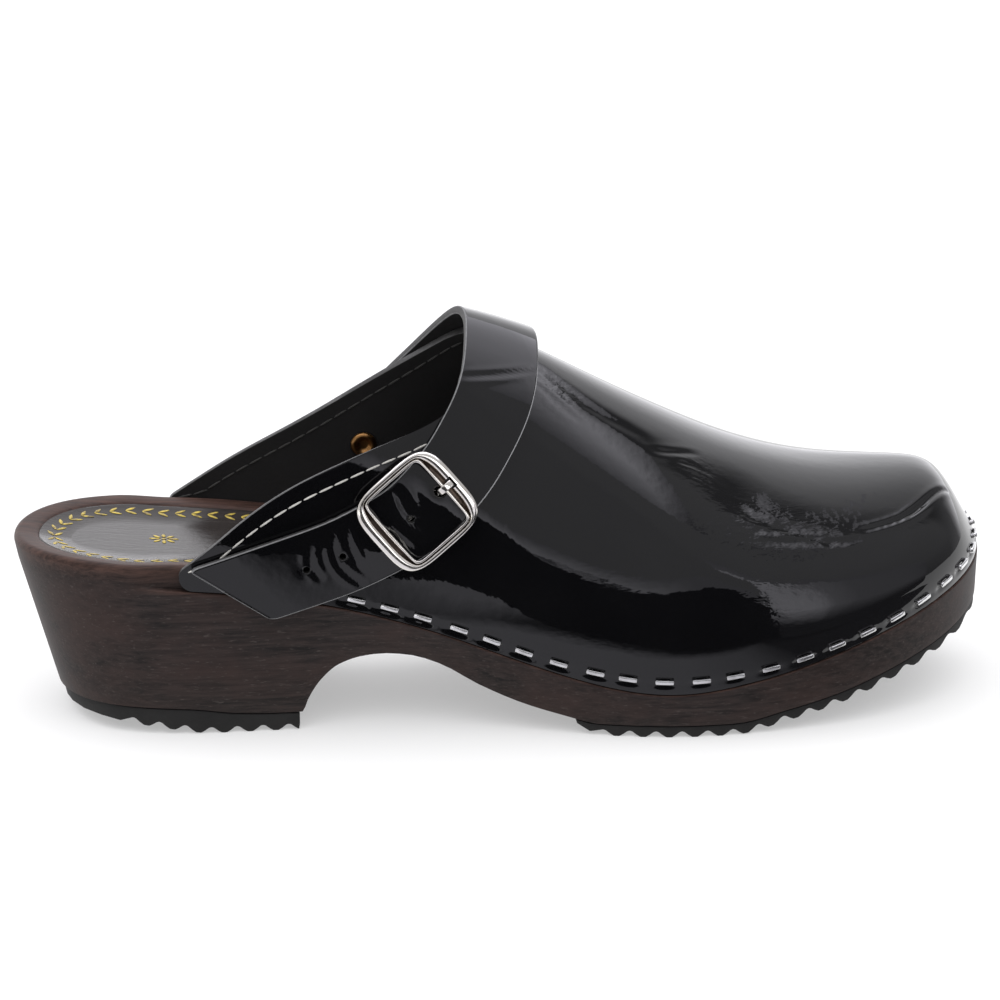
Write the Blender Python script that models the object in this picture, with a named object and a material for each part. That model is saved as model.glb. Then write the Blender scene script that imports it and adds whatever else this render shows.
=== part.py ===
"""A right-foot wooden clog with a leather upper, an instep strap and a buckle.

Sizes below are in millimetres and MM turns them into metres. A station is a distance along the shoe from
the back of the heel. The finished shoe has +X to the toe, -Y to the outer (lateral) side, +Z up, and stands
on z = 0.
"""

import math

import bmesh
import bpy
import numpy as np
from mathutils import Matrix, Vector

MM = 0.001

# Driving dimensions
LENGTH = 256.8
GAP = 0.3
LEATHER = 2.0
STRAP_WIDTH = 20.0
STRAP_THICKNESS = 2.2
HEEL_TAPER = 9.8
HEEL_TAPER_ENDS = 70.0
HEEL_RIM = 47.6
LATERAL, MEDIAL = -1, 1
MIDDLE_LINE = 1.56

# Outline of the sole at the leather's ledge, heights of the ledge and of the wood's rim, how far the bottom
# edge is tucked in and how far the rim leans back under the toe
SOLE_COLUMNS = ("station", "lateral", "medial", "ledge", "rim", "tuck", "rim_back")
SOLE_ROWS = (
    (0, 0.0, 0.0, 41.6, 47.6, 3.6, 0.0),
    (15, -26.2, 27.2, 41.4, 47.7, 3.9, 0.0),
    (40, -32.8, 34.0, 40.3, 46.4, 4.0, 0.0),
    (75, -32.0, 32.0, 35.8, 43.4, 3.6, 0.0),
    (110, -33.6, 32.0, 26.2, 35.6, 2.6, 0.0),
    (150, -42.6, 40.5, 13.9, 23.6, 1.6, 0.0),
    (168, -45.9, 45.8, 11.9, 21.4, 1.4, 0.0),
    (185, -45.6, 48.8, 13.6, 22.6, 1.4, 0.0),
    (215, -40.6, 46.0, 21.2, 29.8, 1.4, 0.0),
    (240, -28.0, 34.0, 29.6, 37.4, 0.9, 1.4),
    (LENGTH, 8.0, 8.0, 36.2, 41.8, 0.3, 4.8),
)

# Underside of the wood: heel seat, breast, arch, ball and toe spring
WOOD_UNDERSIDE = (
    (0, 7.7), (28, 7.4), (44, 6.9), (57, 5.4), (66, 5.0), (73.4, 5.0), (75.2, 8.9), (78.3, 13.6),
    (83, 17.7), (89, 19.8), (95, 20.5), (101, 20.1), (109, 17.8), (119, 12.4), (130, 7.9), (140, 5.2),
    (150, 3.2), (184, 3.2), (199, 6.0), (213, 9.2), (224, 12.6), (236, 16.6), (249, 21.0), (LENGTH, 24.2),
)

# Rabbet for the leather: it runs out towards the heel
RABBET_DEPTH = LEATHER + 0.6
RABBET_STARTS, RABBET_FULL = 27.0, 42.0
RUN_OUT_STEP = 1.2

# The rings round the sole: how many sections, and the extra ones that shape the breast of the heel
SOLE_STEPS = 56
BREAST_STATIONS = (71.9, 73.2, 74.5, 76.2, 78.0, 80.5, 83.0, 86.0)
BREAST_CLEAR = 0.008

# Footbed: one row (inset, drop) for each ring, how far it lies inside the rim and how far below it
FOOTBED_ROWS = ((0.0, 1.2), (1.2, 0.0), (4.5, 0.3), (9.0, 1.6), (15.0, 2.6))

# Rubber tread: transverse teeth, one row (share of pitch, share of depth) for each point of a tooth
TOOTH_PITCH = 6.7
TOOTH_DEPTH = 1.6
TOOTH_ROWS = ((0.0, 1.0), (0.1, 0.86), (0.25, 0.38), (0.4, 0.0), (0.6, 0.0), (0.75, 0.38), (0.9, 0.86))
RUBBER_INSET = 0.3
RUBBER_ROUNDING = 18.0
ROUNDING_SHARES = (0.0, 0.15, 0.3, 0.5, 0.7)
TOOTH_CLEAR = 0.5
HEEL_TREAD_STARTS = 29.7
HEEL_LIFT_FRONT = 72.8
HEEL_UNDERSIDE = ((0, 3.7), (18, 3.7), (28, 2.8), (40, 1.2), (50, 0.0), (LENGTH, 0.0))
FRONT_TREAD_STARTS = 150.6
FRONT_RUBBER_STARTS = 143.9
FRONT_UNDERSIDE = (
    (FRONT_RUBBER_STARTS, 3.0), (150, 0.0), (184, 0.0), (199, 2.9), (213, 6.2), (224, 9.6), (236, 13.6),
    (249, 18.0), (LENGTH, 21.2),
)

# Upper: height and sideways place of the crest, squareness of the section, and how far the wall bellies out
# above the ledge
UPPER_COLUMNS = ("station", "crest", "ridge", "squareness", "belly")
UPPER_ROWS = (
    (40, 129.0, 0.0, 2.0, 0.0),
    (72, 121.0, 0.0, 2.0, 1.0),
    (100, 110.2, 1.0, 2.0, 4.0),
    (121, 100.2, 2.0, 2.0, 7.0),
    (139, 91.4, 3.0, 2.0, 9.0),
    (155, 82.7, 4.0, 2.05, 11.0),
    (171, 74.4, 5.0, 2.1, 13.0),
    (187, 66.9, 6.0, 2.15, 13.0),
    (209, 59.9, 7.0, 2.3, 12.0),
    (226, 57.8, 8.0, 2.4, 10.0),
    (237, 57.4, 8.0, 2.4, 8.0),
    (246, 54.6, 8.0, 2.4, 5.0),
    (252, 45.8, 8.0, 2.3, 2.0),
    (LENGTH, 36.7, 8.0, 2.2, 0.0),
)
UPPER_INSET = 0.3
UPPER_STARTS = 42.0
REAR_ROUND_LOW, REAR_ROUND_HIGH = 3.4, 1.2
REAR_STEPS = (0.0, 0.25, 0.8, 1.7, 3.4)
THROAT = 126.0
TOE_TURN_STARTS = 0.9
BELLY_POWER = 5
QUARTER_STEPS, VAMP_STEPS, GIRTH_STEPS = 15, 33, 12
QUARTER_CROWDING = 1.3

# Collar: rows (station, lateral height, medial height) of its edge, from the rear corner to just before the
# throat
COLLAR_ROWS = (
    (42, 45.4, 45.6),
    (50, 51.2, 50.8),
    (58, 57.6, 56.0),
    (72, 66.5, 64.2),
    (82, 71.0, 70.2),
    (93, 75.4, 77.4),
    (104, 79.4, 84.8),
    (112, 83.2, 90.6),
    (119, 89.0, 95.6),
)

# Instep strap: where its middle runs on the upper, how far its inner face stands off, and how its front edge
# is tipped up. The rows run from the medial end over the instep to the tail on the lateral side
STRAP_COLUMNS = ("station", "girth", "lift", "tip_deg")
STRAP_ROWS = (
    (88.0, 1.826, 0.6, 0.0),
    (94.0, 1.768, 0.6, 0.0),
    (100.8, 1.694, 0.8, 0.0),
    (107.6, 1.602, 1.0, 0.0),
    (114.4, 1.488, 1.1, 0.0),
    (120.4, 1.345, 1.2, 3.0),
    (124.6, 1.175, 1.2, 6.0),
    (126.6, 1.0, 1.2, 6.5),
    (126.4, 0.83, 1.2, 4.5),
    (125.0, 0.675, 1.2, 1.5),
    (122.4, 0.567, 1.2, 0.0),
    (118.5, 0.47, 1.4, 0.0),
    (114.3, 0.389, 1.8, 0.0),
    (109.3, 0.318, 2.1, 0.0),
    (101.4, 0.231, 2.1, 0.0),
    (93.6, 0.172, 1.7, 0.0),
    (84.4, 0.116, 1.1, 0.0),
    (74.5, 0.071, 0.9, 0.0),
    (64.5, 0.034, 0.9, 0.0),
    (54.8, 0.002, 0.9, 0.0),
    (44.0, -0.03, 0.9, 0.0),
)
RIVET_ROW, PRONG_ROW, TAIL_END_ROW = 1, 13, 19
STRAP_STEPS = 54
STRAP_CROWN = 0.25
STRAP_END_ROUND = 9.0
STRAP_END_HALF = 0.3
STRAP_END_STEPS = (0.0, 0.8, 2.2, 4.2, 6.6)
TAIL_SLANT = 0.8
TAIL_SLANT_LENGTH = 34.0
TAIL_CORNER = 2.5
TAIL_STEPS = (6.0, 2.5, 1.3, 0.5, 0.0)
HOLE_COUNT, HOLE_PITCH, HOLE_RADIUS, PRONG_HOLE_RADIUS = 5, 10.0, 0.9, 1.6
PUNCH_SIDES = 12
PUNCH_OVERSHOOT = 1.0

# Buckle: half sizes along and across the strap and squareness of the frame's inner and outer edges, how far
# it sits towards the strap's rear edge and over the strap, and the slot that leaves the pivot bar for the prong
BUCKLE_INNER = (8.7, 10.1, 12.0)
BUCKLE_OUTER = (13.5, 12.45, 4.1)
BUCKLE_THICKNESS = 1.7
BUCKLE_REARWARD = 0.65
BUCKLE_CLEAR = 0.6
BUCKLE_STEPS, BUCKLE_BAR_SIDES = 44, 8
PIVOT_BAR, PIVOT_SLOT = 1.8, 1.8
PRONG_FROM_BAR = 2.2
PRONG_LOOSE = 0.4
PRONG_WIDTH, PRONG_THICKNESS = 1.8, 0.8
PRONG_HOOK_DEGREES = (180, 150, 120, 90, 60, 30, 0)
PRONG_REACH = 11.0

# Rivet on the medial wall: radii of shank and cap, height of the cap and of its edge, and where the cap turns
# over
RIVET_SHANK, RIVET_CAP, RIVET_HEAD, RIVET_EDGE = 1.5, 3.5, 1.2, 0.3
RIVET_SHOULDER = (0.6, 0.8)
RIVET_SIDES = 16

# Staples through the leather's lower edge, and rows (station, height over the ledge) of the line they follow
STAPLE_FIRST, STAPLE_LAST = 86.6, 50.0
STAPLE_PITCH = 9.25
STAPLE_LINE = ((0, 3.0), (135, 3.1), (152, 3.6), (169, 3.9), (185, 3.4), (200, 3.0), (222, 3.0), (246, 4.4),
               (LENGTH, 5.0))
STAPLE_CROWN = (4.8, 1.2, 0.8)
STAPLE_TOE_FROM, STAPLE_TOE_SAMPLES, STAPLE_SAMPLES = 240, 2000, 500


def spline(points):
    """A smooth function through points, with natural ends."""
    xs, ys = np.array(points, dtype=float).T
    steps = np.diff(xs)
    system = np.eye(len(xs))
    bends = np.zeros(len(xs))
    for i in range(1, len(xs) - 1):
        system[i, i - 1 : i + 2] = steps[i - 1], 2 * (steps[i - 1] + steps[i]), steps[i]
        bends[i] = 6 * ((ys[i + 1] - ys[i]) / steps[i] - (ys[i] - ys[i - 1]) / steps[i - 1])
    curvature = np.linalg.solve(system, bends)

    def at(x):
        i = int(np.clip(np.searchsorted(xs, x) - 1, 0, len(steps) - 1))
        before, after, step = xs[i + 1] - x, x - xs[i], steps[i]
        value = (curvature[i] * before**3 + curvature[i + 1] * after**3) / (6 * step)
        value += (ys[i] / step - curvature[i] * step / 6) * before
        value += (ys[i + 1] / step - curvature[i + 1] * step / 6) * after
        return float(value)

    return at


def steady(points):
    """A function through points that doesn't swing past them, for lines with flats and corners."""
    xs, ys = np.array(points, dtype=float).T
    steps = np.diff(xs)
    slopes = np.diff(ys) / steps
    ends = np.zeros(len(xs))
    for i in range(1, len(xs) - 1):
        if slopes[i - 1] * slopes[i] > 0:
            ends[i] = 2 * slopes[i - 1] * slopes[i] / (slopes[i - 1] + slopes[i])
    ends[0], ends[-1] = slopes[0], slopes[-1]

    def at(x):
        i = int(np.clip(np.searchsorted(xs, x) - 1, 0, len(steps) - 1))
        t = min(max((x - xs[i]) / steps[i], 0.0), 1.0)
        rise = ys[i] * (1 + 2 * t) * (1 - t) ** 2 + ys[i + 1] * t * t * (3 - 2 * t)
        return float(rise + steps[i] * (ends[i] * t * (1 - t) ** 2 - ends[i + 1] * t * t * (1 - t)))

    return at


def turn(station):
    """Share of the way round the outline, which spreads the stations that crowd at the heel and toe."""
    return math.acos(1 - 2 * station / LENGTH) / math.pi


def station_at(u):
    return LENGTH * (1 - math.cos(math.pi * u)) / 2


def columns(rows, names):
    """One smooth function of the turn for each column after the station."""
    return {
        name: spline([(turn(row[0]), row[i]) for row in rows])
        for i, name in enumerate(names)
        if name != "station"
    }


SOLE = columns(SOLE_ROWS, SOLE_COLUMNS)
UPPER = columns(UPPER_ROWS, UPPER_COLUMNS)
WOOD_BOTTOM = steady(WOOD_UNDERSIDE)
FRONT_BOTTOM = steady(FRONT_UNDERSIDE)
HEEL_BOTTOM = steady(HEEL_UNDERSIDE)
STAPLE_HEIGHT = steady(STAPLE_LINE)
COLLAR = {
    side: spline([(row[0], row[i]) for row in COLLAR_ROWS] + [(THROAT, UPPER["crest"](turn(THROAT)))])
    for i, side in ((1, LATERAL), (2, MEDIAL))
}


def ramp(value, start, end):
    t = min(max((value - start) / (end - start), 0.0), 1.0)
    return t * t * (3 - 2 * t)


def outline(u, side):
    return np.array((station_at(u), SOLE["lateral" if side == LATERAL else "medial"](u)))


def inward(u, side):
    """Direction in plan that points into the shoe from its outline."""
    small = 1e-4
    along = outline(u + small, side) - outline(u - small, side)
    along /= np.linalg.norm(along)
    return np.array((along[1], -along[0])) * side


def edge(u, side, inset):
    """Plan point (station, sideways) that lies inset inside the outline."""
    return outline(u, side) + inset * inward(u, side)


def lean(station, height):
    """The heel's back slopes forward towards the floor."""
    fade = max(0.0, 1 - station / HEEL_TAPER_ENDS) ** 2
    return station + HEEL_TAPER * (1 - height / HEEL_RIM) * fade


def place(station, sideways, height):
    """A point of the shoe in metres, from the floor below the middle of its length and of its width."""
    return Vector((station - LENGTH / 2, sideways - MIDDLE_LINE, height)) * MM


def material(name, colour, roughness, metallic=0.0):
    made = bpy.data.materials.new(name)
    made.use_nodes = True
    shader = made.node_tree.nodes["Principled BSDF"]
    shader.inputs["Base Color"].default_value = (*colour, 1.0)
    shader.inputs["Roughness"].default_value = roughness
    shader.inputs["Metallic"].default_value = metallic
    return made


def add(name, bm, finish, sharp_deg=40.0):
    """Turns a bmesh into a named object with its material."""
    mesh = bpy.data.meshes.new(name)
    bm.to_mesh(mesh)
    bm.free()
    mesh.materials.append(finish)
    mesh.shade_smooth()
    mesh.set_sharp_from_angle(angle=math.radians(sharp_deg))
    made = bpy.data.objects.new(name, mesh)
    bpy.context.collection.objects.link(made)
    return made


def bridge(bm, first, second):
    """Faces between two loops of equally many vertices."""
    count = len(first)
    for i in range(count):
        k = (i + 1) % count
        corners = dict.fromkeys((first[i], first[k], second[k], second[i]))
        if len(corners) > 2:
            bm.faces.new(tuple(corners))


def close_across(bm, loop):
    """Closes a loop that runs round the shoe with strips from side to side."""
    count = len(loop)
    for i in range(count // 2):
        corners = (loop[i], loop[i + 1], loop[-i - 1], loop[-i % count])
        bm.faces.new(tuple(dict.fromkeys(corners)))


def ring(bm, turns, inset_at, height_at):
    """A closed loop round the shoe: heel, lateral side, toe, medial side. The two functions take the turn."""
    loop = []
    around = [(u, LATERAL) for u in turns] + [(u, MEDIAL) for u in reversed(turns[1:-1])]
    for u, side in around:
        station, sideways = edge(u, side, inset_at(u))
        height = height_at(u, station)
        loop.append(bm.verts.new(place(lean(station, height), sideways, height)))
    return loop


def sole_turns():
    """Even turns, with more of them at the breast of the heel."""
    even = [i / SOLE_STEPS for i in range(SOLE_STEPS + 1)]
    breast = [turn(station) for station in BREAST_STATIONS]
    apart = [u for u in even if not breast[0] - BREAST_CLEAR < u < breast[-1] + BREAST_CLEAR]
    return sorted(apart + breast)


def rabbet(u):
    return ramp(station_at(u), RABBET_STARTS, RABBET_FULL)


def make_wooden_sole(finish):
    bm = bmesh.new()
    turns = sole_turns()
    loops = [
        ring(bm, turns, SOLE["tuck"], lambda u, station: WOOD_BOTTOM(lean(station, WOOD_BOTTOM(station)))),
        ring(bm, turns, lambda u: 0.0, lambda u, station: SOLE["ledge"](u)),
        ring(
            bm,
            turns,
            lambda u: RABBET_DEPTH * rabbet(u),
            lambda u, station: SOLE["ledge"](u) + RUN_OUT_STEP * (1 - rabbet(u)),
        ),
    ]
    for inset, drop in FOOTBED_ROWS:
        loops.append(
            ring(
                bm,
                turns,
                lambda u, inset=inset: RABBET_DEPTH * rabbet(u) + SOLE["rim_back"](u) + inset,
                lambda u, station, drop=drop: SOLE["rim"](u) - drop,
            )
        )
    for lower, upper in zip(loops, loops[1:]):
        bridge(bm, lower, upper)
    close_across(bm, loops[0])
    close_across(bm, loops[-1])
    bmesh.ops.recalc_face_normals(bm, faces=bm.faces)
    return add("wooden_sole", bm, finish)


def underside_outline(height):
    """Stations and sideways places of the sole's bottom edge, for looking up its width at a station."""
    turns = np.linspace(0.0, 1.0, 401)
    found = {}
    for side in (LATERAL, MEDIAL):
        points = [edge(u, side, SOLE["tuck"](u) + RUBBER_INSET) for u in turns]
        found[side] = (np.array([lean(p[0], height) for p in points]), np.array([p[1] for p in points]))
    return found


def teeth(start, end):
    """(station, notch share) pairs of the teeth between two stations."""
    count = int((end - start) / TOOTH_PITCH) + 1
    found = [
        (start + (k + share) * TOOTH_PITCH, depth) for k in range(count) for share, depth in TOOTH_ROWS
    ]
    return [(station, depth) for station, depth in found if start <= station < end]


def make_rubber(name, finish, stations, bottom_at, height):
    """A rubber piece under the wood with its teeth across: one section for each station, closed at the ends."""
    bm = bmesh.new()
    sides = underside_outline(height)
    sections = []
    for station in stations:
        lateral, medial = (np.interp(station, *sides[side]) for side in (LATERAL, MEDIAL))
        bottom, top = bottom_at(station), WOOD_BOTTOM(station) - GAP
        corners = [(lateral, bottom), (medial, bottom), (medial, top), (lateral, top)]
        if medial - lateral < GAP:
            middle = (lateral + medial) / 2
            low = bm.verts.new(place(station, middle, bottom))
            high = bm.verts.new(place(station, middle, top))
            sections.append([low, low, high, high])
        else:
            sections.append([bm.verts.new(place(station, y, z)) for y, z in corners])
    for first, second in zip(sections, sections[1:]):
        bridge(bm, first, second)
    for end in (sections[0], sections[-1]):
        if len(set(end)) == 4:
            bm.faces.new(end)
    bmesh.ops.recalc_face_normals(bm, faces=bm.faces)
    return add(name, bm, finish)


def make_heel_lift(finish):
    back = underside_outline(0.0)[LATERAL][0][0]
    notches = teeth(HEEL_TREAD_STARTS, HEEL_LIFT_FRONT)
    rounding = [back + RUBBER_ROUNDING * share**2 for share in ROUNDING_SHARES]
    lead_in = HEEL_TREAD_STARTS - TOOTH_PITCH / 2
    toothed = [station for station, _ in notches]
    stations = sorted({round(station, 3) for station in rounding + [lead_in] + toothed + [HEEL_LIFT_FRONT]})
    notch_xs, notch_ys = zip(*([(lead_in, 0.0)] + notches + [(HEEL_LIFT_FRONT, 1.0)]))

    def bottom_at(station):
        return HEEL_BOTTOM(station) + TOOTH_DEPTH * float(np.interp(station, notch_xs, notch_ys))

    return make_rubber("heel_lift", finish, stations, bottom_at, 0.0)


def make_front_outsole(finish):
    front = underside_outline(HEEL_RIM)[LATERAL][0][-1]
    notches = teeth(FRONT_TREAD_STARTS, front)
    rounding = [front - RUBBER_ROUNDING * share**2 for share in ROUNDING_SHARES]
    lead_in = [FRONT_RUBBER_STARTS + TOOTH_PITCH * k / 2 for k in range(4)]
    toothed = [station for station, _ in notches if station < front - TOOTH_CLEAR]
    stations = sorted({round(station, 3) for station in lead_in + toothed + rounding})
    notch_xs, notch_ys = zip(*([(FRONT_TREAD_STARTS - GAP, 0.0)] + notches + [(front, 0.0)]))

    def bottom_at(station):
        return FRONT_BOTTOM(station) + TOOTH_DEPTH * float(np.interp(station, notch_xs, notch_ys))

    return make_rubber("front_outsole", finish, stations, bottom_at, HEEL_RIM)


def upper_point(u, girth):
    """A point of the upper's outer face in millimetres. Girth runs from 0 at the lateral ledge over 1 at the
    crest to 2 at the medial ledge."""
    side = LATERAL if girth <= 1 else MEDIAL
    angle = math.radians(90.0) * (girth if girth <= 1 else 2 - girth)
    base = edge(u, side, UPPER_INSET)
    tip = ramp(u, TOE_TURN_STARTS, 1.0)
    station = station_at(u) * (1 - tip) + base[0] * tip
    crest = np.array((station, UPPER["ridge"](u)))
    low = SOLE["ledge"](u) + GAP
    share = max(math.cos(angle), 0.0) ** (2 / UPPER["squareness"](u))
    belly = UPPER["belly"](u) * math.sin(angle) * max(math.cos(angle), 0.0) ** BELLY_POWER
    plan = crest + (base - crest) * share - belly * inward(u, side)
    return Vector((plan[0], plan[1], low + (UPPER["crest"](u) - low) * math.sin(angle)))


def upper_normal(u, girth):
    """Outward direction of the upper's face."""
    small = 1e-3
    along = upper_point(u + small, girth) - upper_point(u - small, girth)
    around = upper_point(u, girth + small) - upper_point(u, girth - small)
    return along.cross(around).normalized()


def collar_girth(u, side):
    """Girth from the ledge up to the collar's edge; past the throat the section closes at the crest."""
    station = station_at(u)
    if station > THROAT - 0.001:
        return 1.0
    low = SOLE["ledge"](u) + GAP
    share = (COLLAR[side](station) - rear_cut(station, REAR_ROUND_HIGH) - low) / (UPPER["crest"](u) - low)
    return math.asin(min(share, 1.0)) / math.radians(90.0)


def rear_cut(station, radius):
    """How much a round corner takes off the upper's rear end."""
    left = radius - min(station - UPPER_STARTS, radius)
    return radius - math.sqrt(max(radius**2 - left**2, 0.0))


def bottom_girth(u):
    """Girth of the upper's lower edge, 0 but for the round corner at its rear end."""
    low = SOLE["ledge"](u) + GAP
    share = rear_cut(station_at(u), REAR_ROUND_LOW) / max(UPPER["crest"](u) - low, REAR_ROUND_LOW)
    return math.asin(share) / math.radians(90.0)


def upper_turns():
    rear = [turn(UPPER_STARTS + step) for step in REAR_STEPS[:-1]]
    start, throat = turn(UPPER_STARTS + REAR_STEPS[-1]), turn(THROAT)
    shares = [1 - (1 - i / QUARTER_STEPS) ** QUARTER_CROWDING for i in range(QUARTER_STEPS)]
    quarter = [start + (throat - start) * share for share in shares]
    vamp = [throat + (1.0 - throat) * i / VAMP_STEPS for i in range(VAMP_STEPS + 1)]
    return rear + quarter + vamp


def make_upper(finish):
    """The leather as one sheet, thickened inwards."""
    bm = bmesh.new()
    half_rows = []
    for u in upper_turns():
        rows = {}
        bottom = bottom_girth(u)
        for side in (LATERAL, MEDIAL):
            top = collar_girth(u, side)
            rows[side] = []
            for j in range(GIRTH_STEPS + 1):
                girth = bottom + (top - bottom) * j / GIRTH_STEPS
                if side == MEDIAL:
                    girth = 2 - girth
                if side == MEDIAL and j == GIRTH_STEPS and top == 1.0:
                    rows[side].append(rows[LATERAL][-1])
                    continue
                point = upper_point(u, girth)
                rows[side].append(bm.verts.new(place(*point)))
        half_rows.append(rows)
    tip = bm.verts.new(half_rows[-1][LATERAL][0].co)
    spare = {vert for side in (LATERAL, MEDIAL) for vert in half_rows[-1][side]}
    bmesh.ops.delete(bm, geom=list(spare), context="VERTS")
    half_rows[-1] = {side: [tip] * (GIRTH_STEPS + 1) for side in (LATERAL, MEDIAL)}
    for first, second in zip(half_rows, half_rows[1:]):
        for side in (LATERAL, MEDIAL):
            for j in range(GIRTH_STEPS):
                corners = [first[side][j], second[side][j], second[side][j + 1], first[side][j + 1]]
                if side == MEDIAL:
                    corners.reverse()
                bm.faces.new(tuple(dict.fromkeys(corners)))
    made = add("upper", bm, finish)
    wall = made.modifiers.new("wall", "SOLIDIFY")
    wall.thickness = LEATHER * MM
    wall.offset = -1.0
    wall.use_rim = True
    return made


def strap_path():
    """For each column a function of the distance along the strap, and the distance of each row."""
    points = [upper_point(turn(row[0]), row[1]) for row in STRAP_ROWS]
    distances = [0.0]
    for before, after in zip(points, points[1:]):
        distances.append(distances[-1] + (after - before).length)
    path = {
        name: spline([(distance, row[i]) for distance, row in zip(distances, STRAP_ROWS)])
        for i, name in enumerate(STRAP_COLUMNS)
    }
    return path, distances


STRAP, STRAP_DISTANCES = strap_path()
STRAP_END = STRAP_DISTANCES[TAIL_END_ROW]
PRONG_HOLE = STRAP_DISTANCES[PRONG_ROW]
PIVOT = PRONG_HOLE - PRONG_FROM_BAR
BUCKLE_MIDDLE = PIVOT + BUCKLE_INNER[0] + PIVOT_BAR / 2


def strap_middle(distance):
    u, girth = turn(STRAP["station"](distance)), STRAP["girth"](distance)
    return upper_point(u, girth) + upper_normal(u, girth) * STRAP["lift"](distance)


def strap_axes(distance):
    """Directions along the strap, across it to its rear edge, and out of its face."""
    small = 0.2
    along = (strap_middle(distance + small) - strap_middle(distance - small)).normalized()
    u, girth = turn(STRAP["station"](distance)), STRAP["girth"](distance)
    across = along.cross(upper_normal(u, girth)).normalized()
    out = across.cross(along)
    tip = math.radians(STRAP["tip_deg"](distance))
    return along, across * math.cos(tip) - out * math.sin(tip), out * math.cos(tip) + across * math.sin(tip)


def strap_point(distance, sideways, height):
    """A point in millimetres, with height measured from the strap's outer face."""
    _, across, out = strap_axes(distance)
    return strap_middle(distance) + across * sideways + out * (height + STRAP_THICKNESS)


def strap_matrix(distance, height):
    """Axes at the strap's middle in metres: x along, y to the front edge, z out."""
    along, across, out = strap_axes(distance)
    turned = Matrix((along, -across, out)).transposed().to_4x4()
    return Matrix.Translation(place(*strap_point(distance, 0.0, height))) @ turned


def strap_half_width(distance):
    """The medial end is round and the tail's corners are eased."""
    half = STRAP_WIDTH / 2
    from_end = min(distance, STRAP_END_ROUND)
    rounded = math.sqrt(STRAP_END_ROUND**2 - (STRAP_END_ROUND - from_end) ** 2) / STRAP_END_ROUND
    left = min(STRAP_END - distance, TAIL_CORNER)
    eased = TAIL_CORNER - math.sqrt(TAIL_CORNER**2 - (TAIL_CORNER - left) ** 2)
    return half * max(rounded, STRAP_END_HALF) - eased / 2


def strap_distances():
    start, stop = STRAP_END_ROUND, STRAP_END - TAIL_STEPS[0]
    even = [start + (stop - start) * i / STRAP_STEPS for i in range(STRAP_STEPS)]
    return [*STRAP_END_STEPS, *even, *(STRAP_END - left for left in TAIL_STEPS)]


def make_strap(finish):
    bm = bmesh.new()
    loops = []
    for distance in strap_distances():
        half = strap_half_width(distance)
        slant = TAIL_SLANT * ramp(distance, STRAP_END - TAIL_SLANT_LENGTH, STRAP_END)
        section = (
            (half, 0.0),
            (0.0, STRAP_CROWN),
            (-half, 0.0),
            (-half, -STRAP_THICKNESS),
            (0.0, -STRAP_THICKNESS),
            (half, -STRAP_THICKNESS),
        )
        loops.append(
            [bm.verts.new(place(*strap_point(distance + slant * y, y, z))) for y, z in section]
        )
    for first, second in zip(loops, loops[1:]):
        bridge(bm, first, second)
    bm.faces.new(loops[0])
    bm.faces.new(loops[-1])
    bmesh.ops.recalc_face_normals(bm, faces=bm.faces)
    return add("instep_strap", bm, finish)


def punch(name, placed):
    """A cutter of round punches: (matrix, radius, depth) for each, from just above its matrix down."""
    bm = bmesh.new()
    for matrix, radius, depth in placed:
        middle = matrix @ Matrix.Translation((0.0, 0.0, (PUNCH_OVERSHOOT - depth / 2) * MM))
        bmesh.ops.create_cone(
            bm,
            cap_ends=True,
            segments=PUNCH_SIDES,
            radius1=radius * MM,
            radius2=radius * MM,
            depth=depth * MM,
            matrix=middle,
        )
    return add_cutter(name, bm)


def add_cutter(name, bm):
    mesh = bpy.data.meshes.new(name)
    bm.to_mesh(mesh)
    bm.free()
    cutter = bpy.data.objects.new(name, mesh)
    bpy.context.collection.objects.link(cutter)
    cutter.hide_render = True
    cutter.display_type = "WIRE"
    return cutter


def cut(target, cutter):
    holes = target.modifiers.new("holes", "BOOLEAN")
    holes.operation = "DIFFERENCE"
    holes.object = cutter


def rivet_distance():
    return STRAP_DISTANCES[RIVET_ROW]


def rivet_heights():
    """Where the rivet's heads sit, from the strap's outer face: on the strap and on the wall's inner face."""
    wall_inside = -(STRAP_THICKNESS + STRAP["lift"](rivet_distance()) + LEATHER)
    return STRAP_CROWN + GAP, wall_inside - GAP


def make_rivet(finish):
    top, bottom = rivet_heights()
    shoulder = RIVET_CAP * RIVET_SHOULDER[0], RIVET_HEAD * RIVET_SHOULDER[1]
    profile = (
        (0.0, top + RIVET_HEAD),
        (shoulder[0], top + shoulder[1]),
        (RIVET_CAP, top + RIVET_EDGE),
        (RIVET_CAP, top),
        (RIVET_SHANK, top),
        (RIVET_SHANK, bottom),
        (RIVET_CAP, bottom),
        (RIVET_CAP, bottom - RIVET_EDGE),
        (shoulder[0], bottom - shoulder[1]),
        (0.0, bottom - RIVET_HEAD),
    )
    bm = bmesh.new()
    verts = [bm.verts.new(Vector((radius, 0.0, height)) * MM) for radius, height in profile]
    edges = [bm.edges.new(pair) for pair in zip(verts, verts[1:])]
    bmesh.ops.spin(
        bm,
        geom=verts + edges,
        cent=(0.0, 0.0, 0.0),
        axis=(0.0, 0.0, 1.0),
        angle=math.tau,
        steps=RIVET_SIDES,
        use_merge=True,
    )
    bmesh.ops.remove_doubles(bm, verts=bm.verts, dist=0.001 * MM)
    bmesh.ops.recalc_face_normals(bm, faces=bm.faces)
    bmesh.ops.transform(bm, matrix=strap_matrix(rivet_distance(), 0.0), verts=bm.verts)
    return add("strap_rivet", bm, finish)


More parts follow.
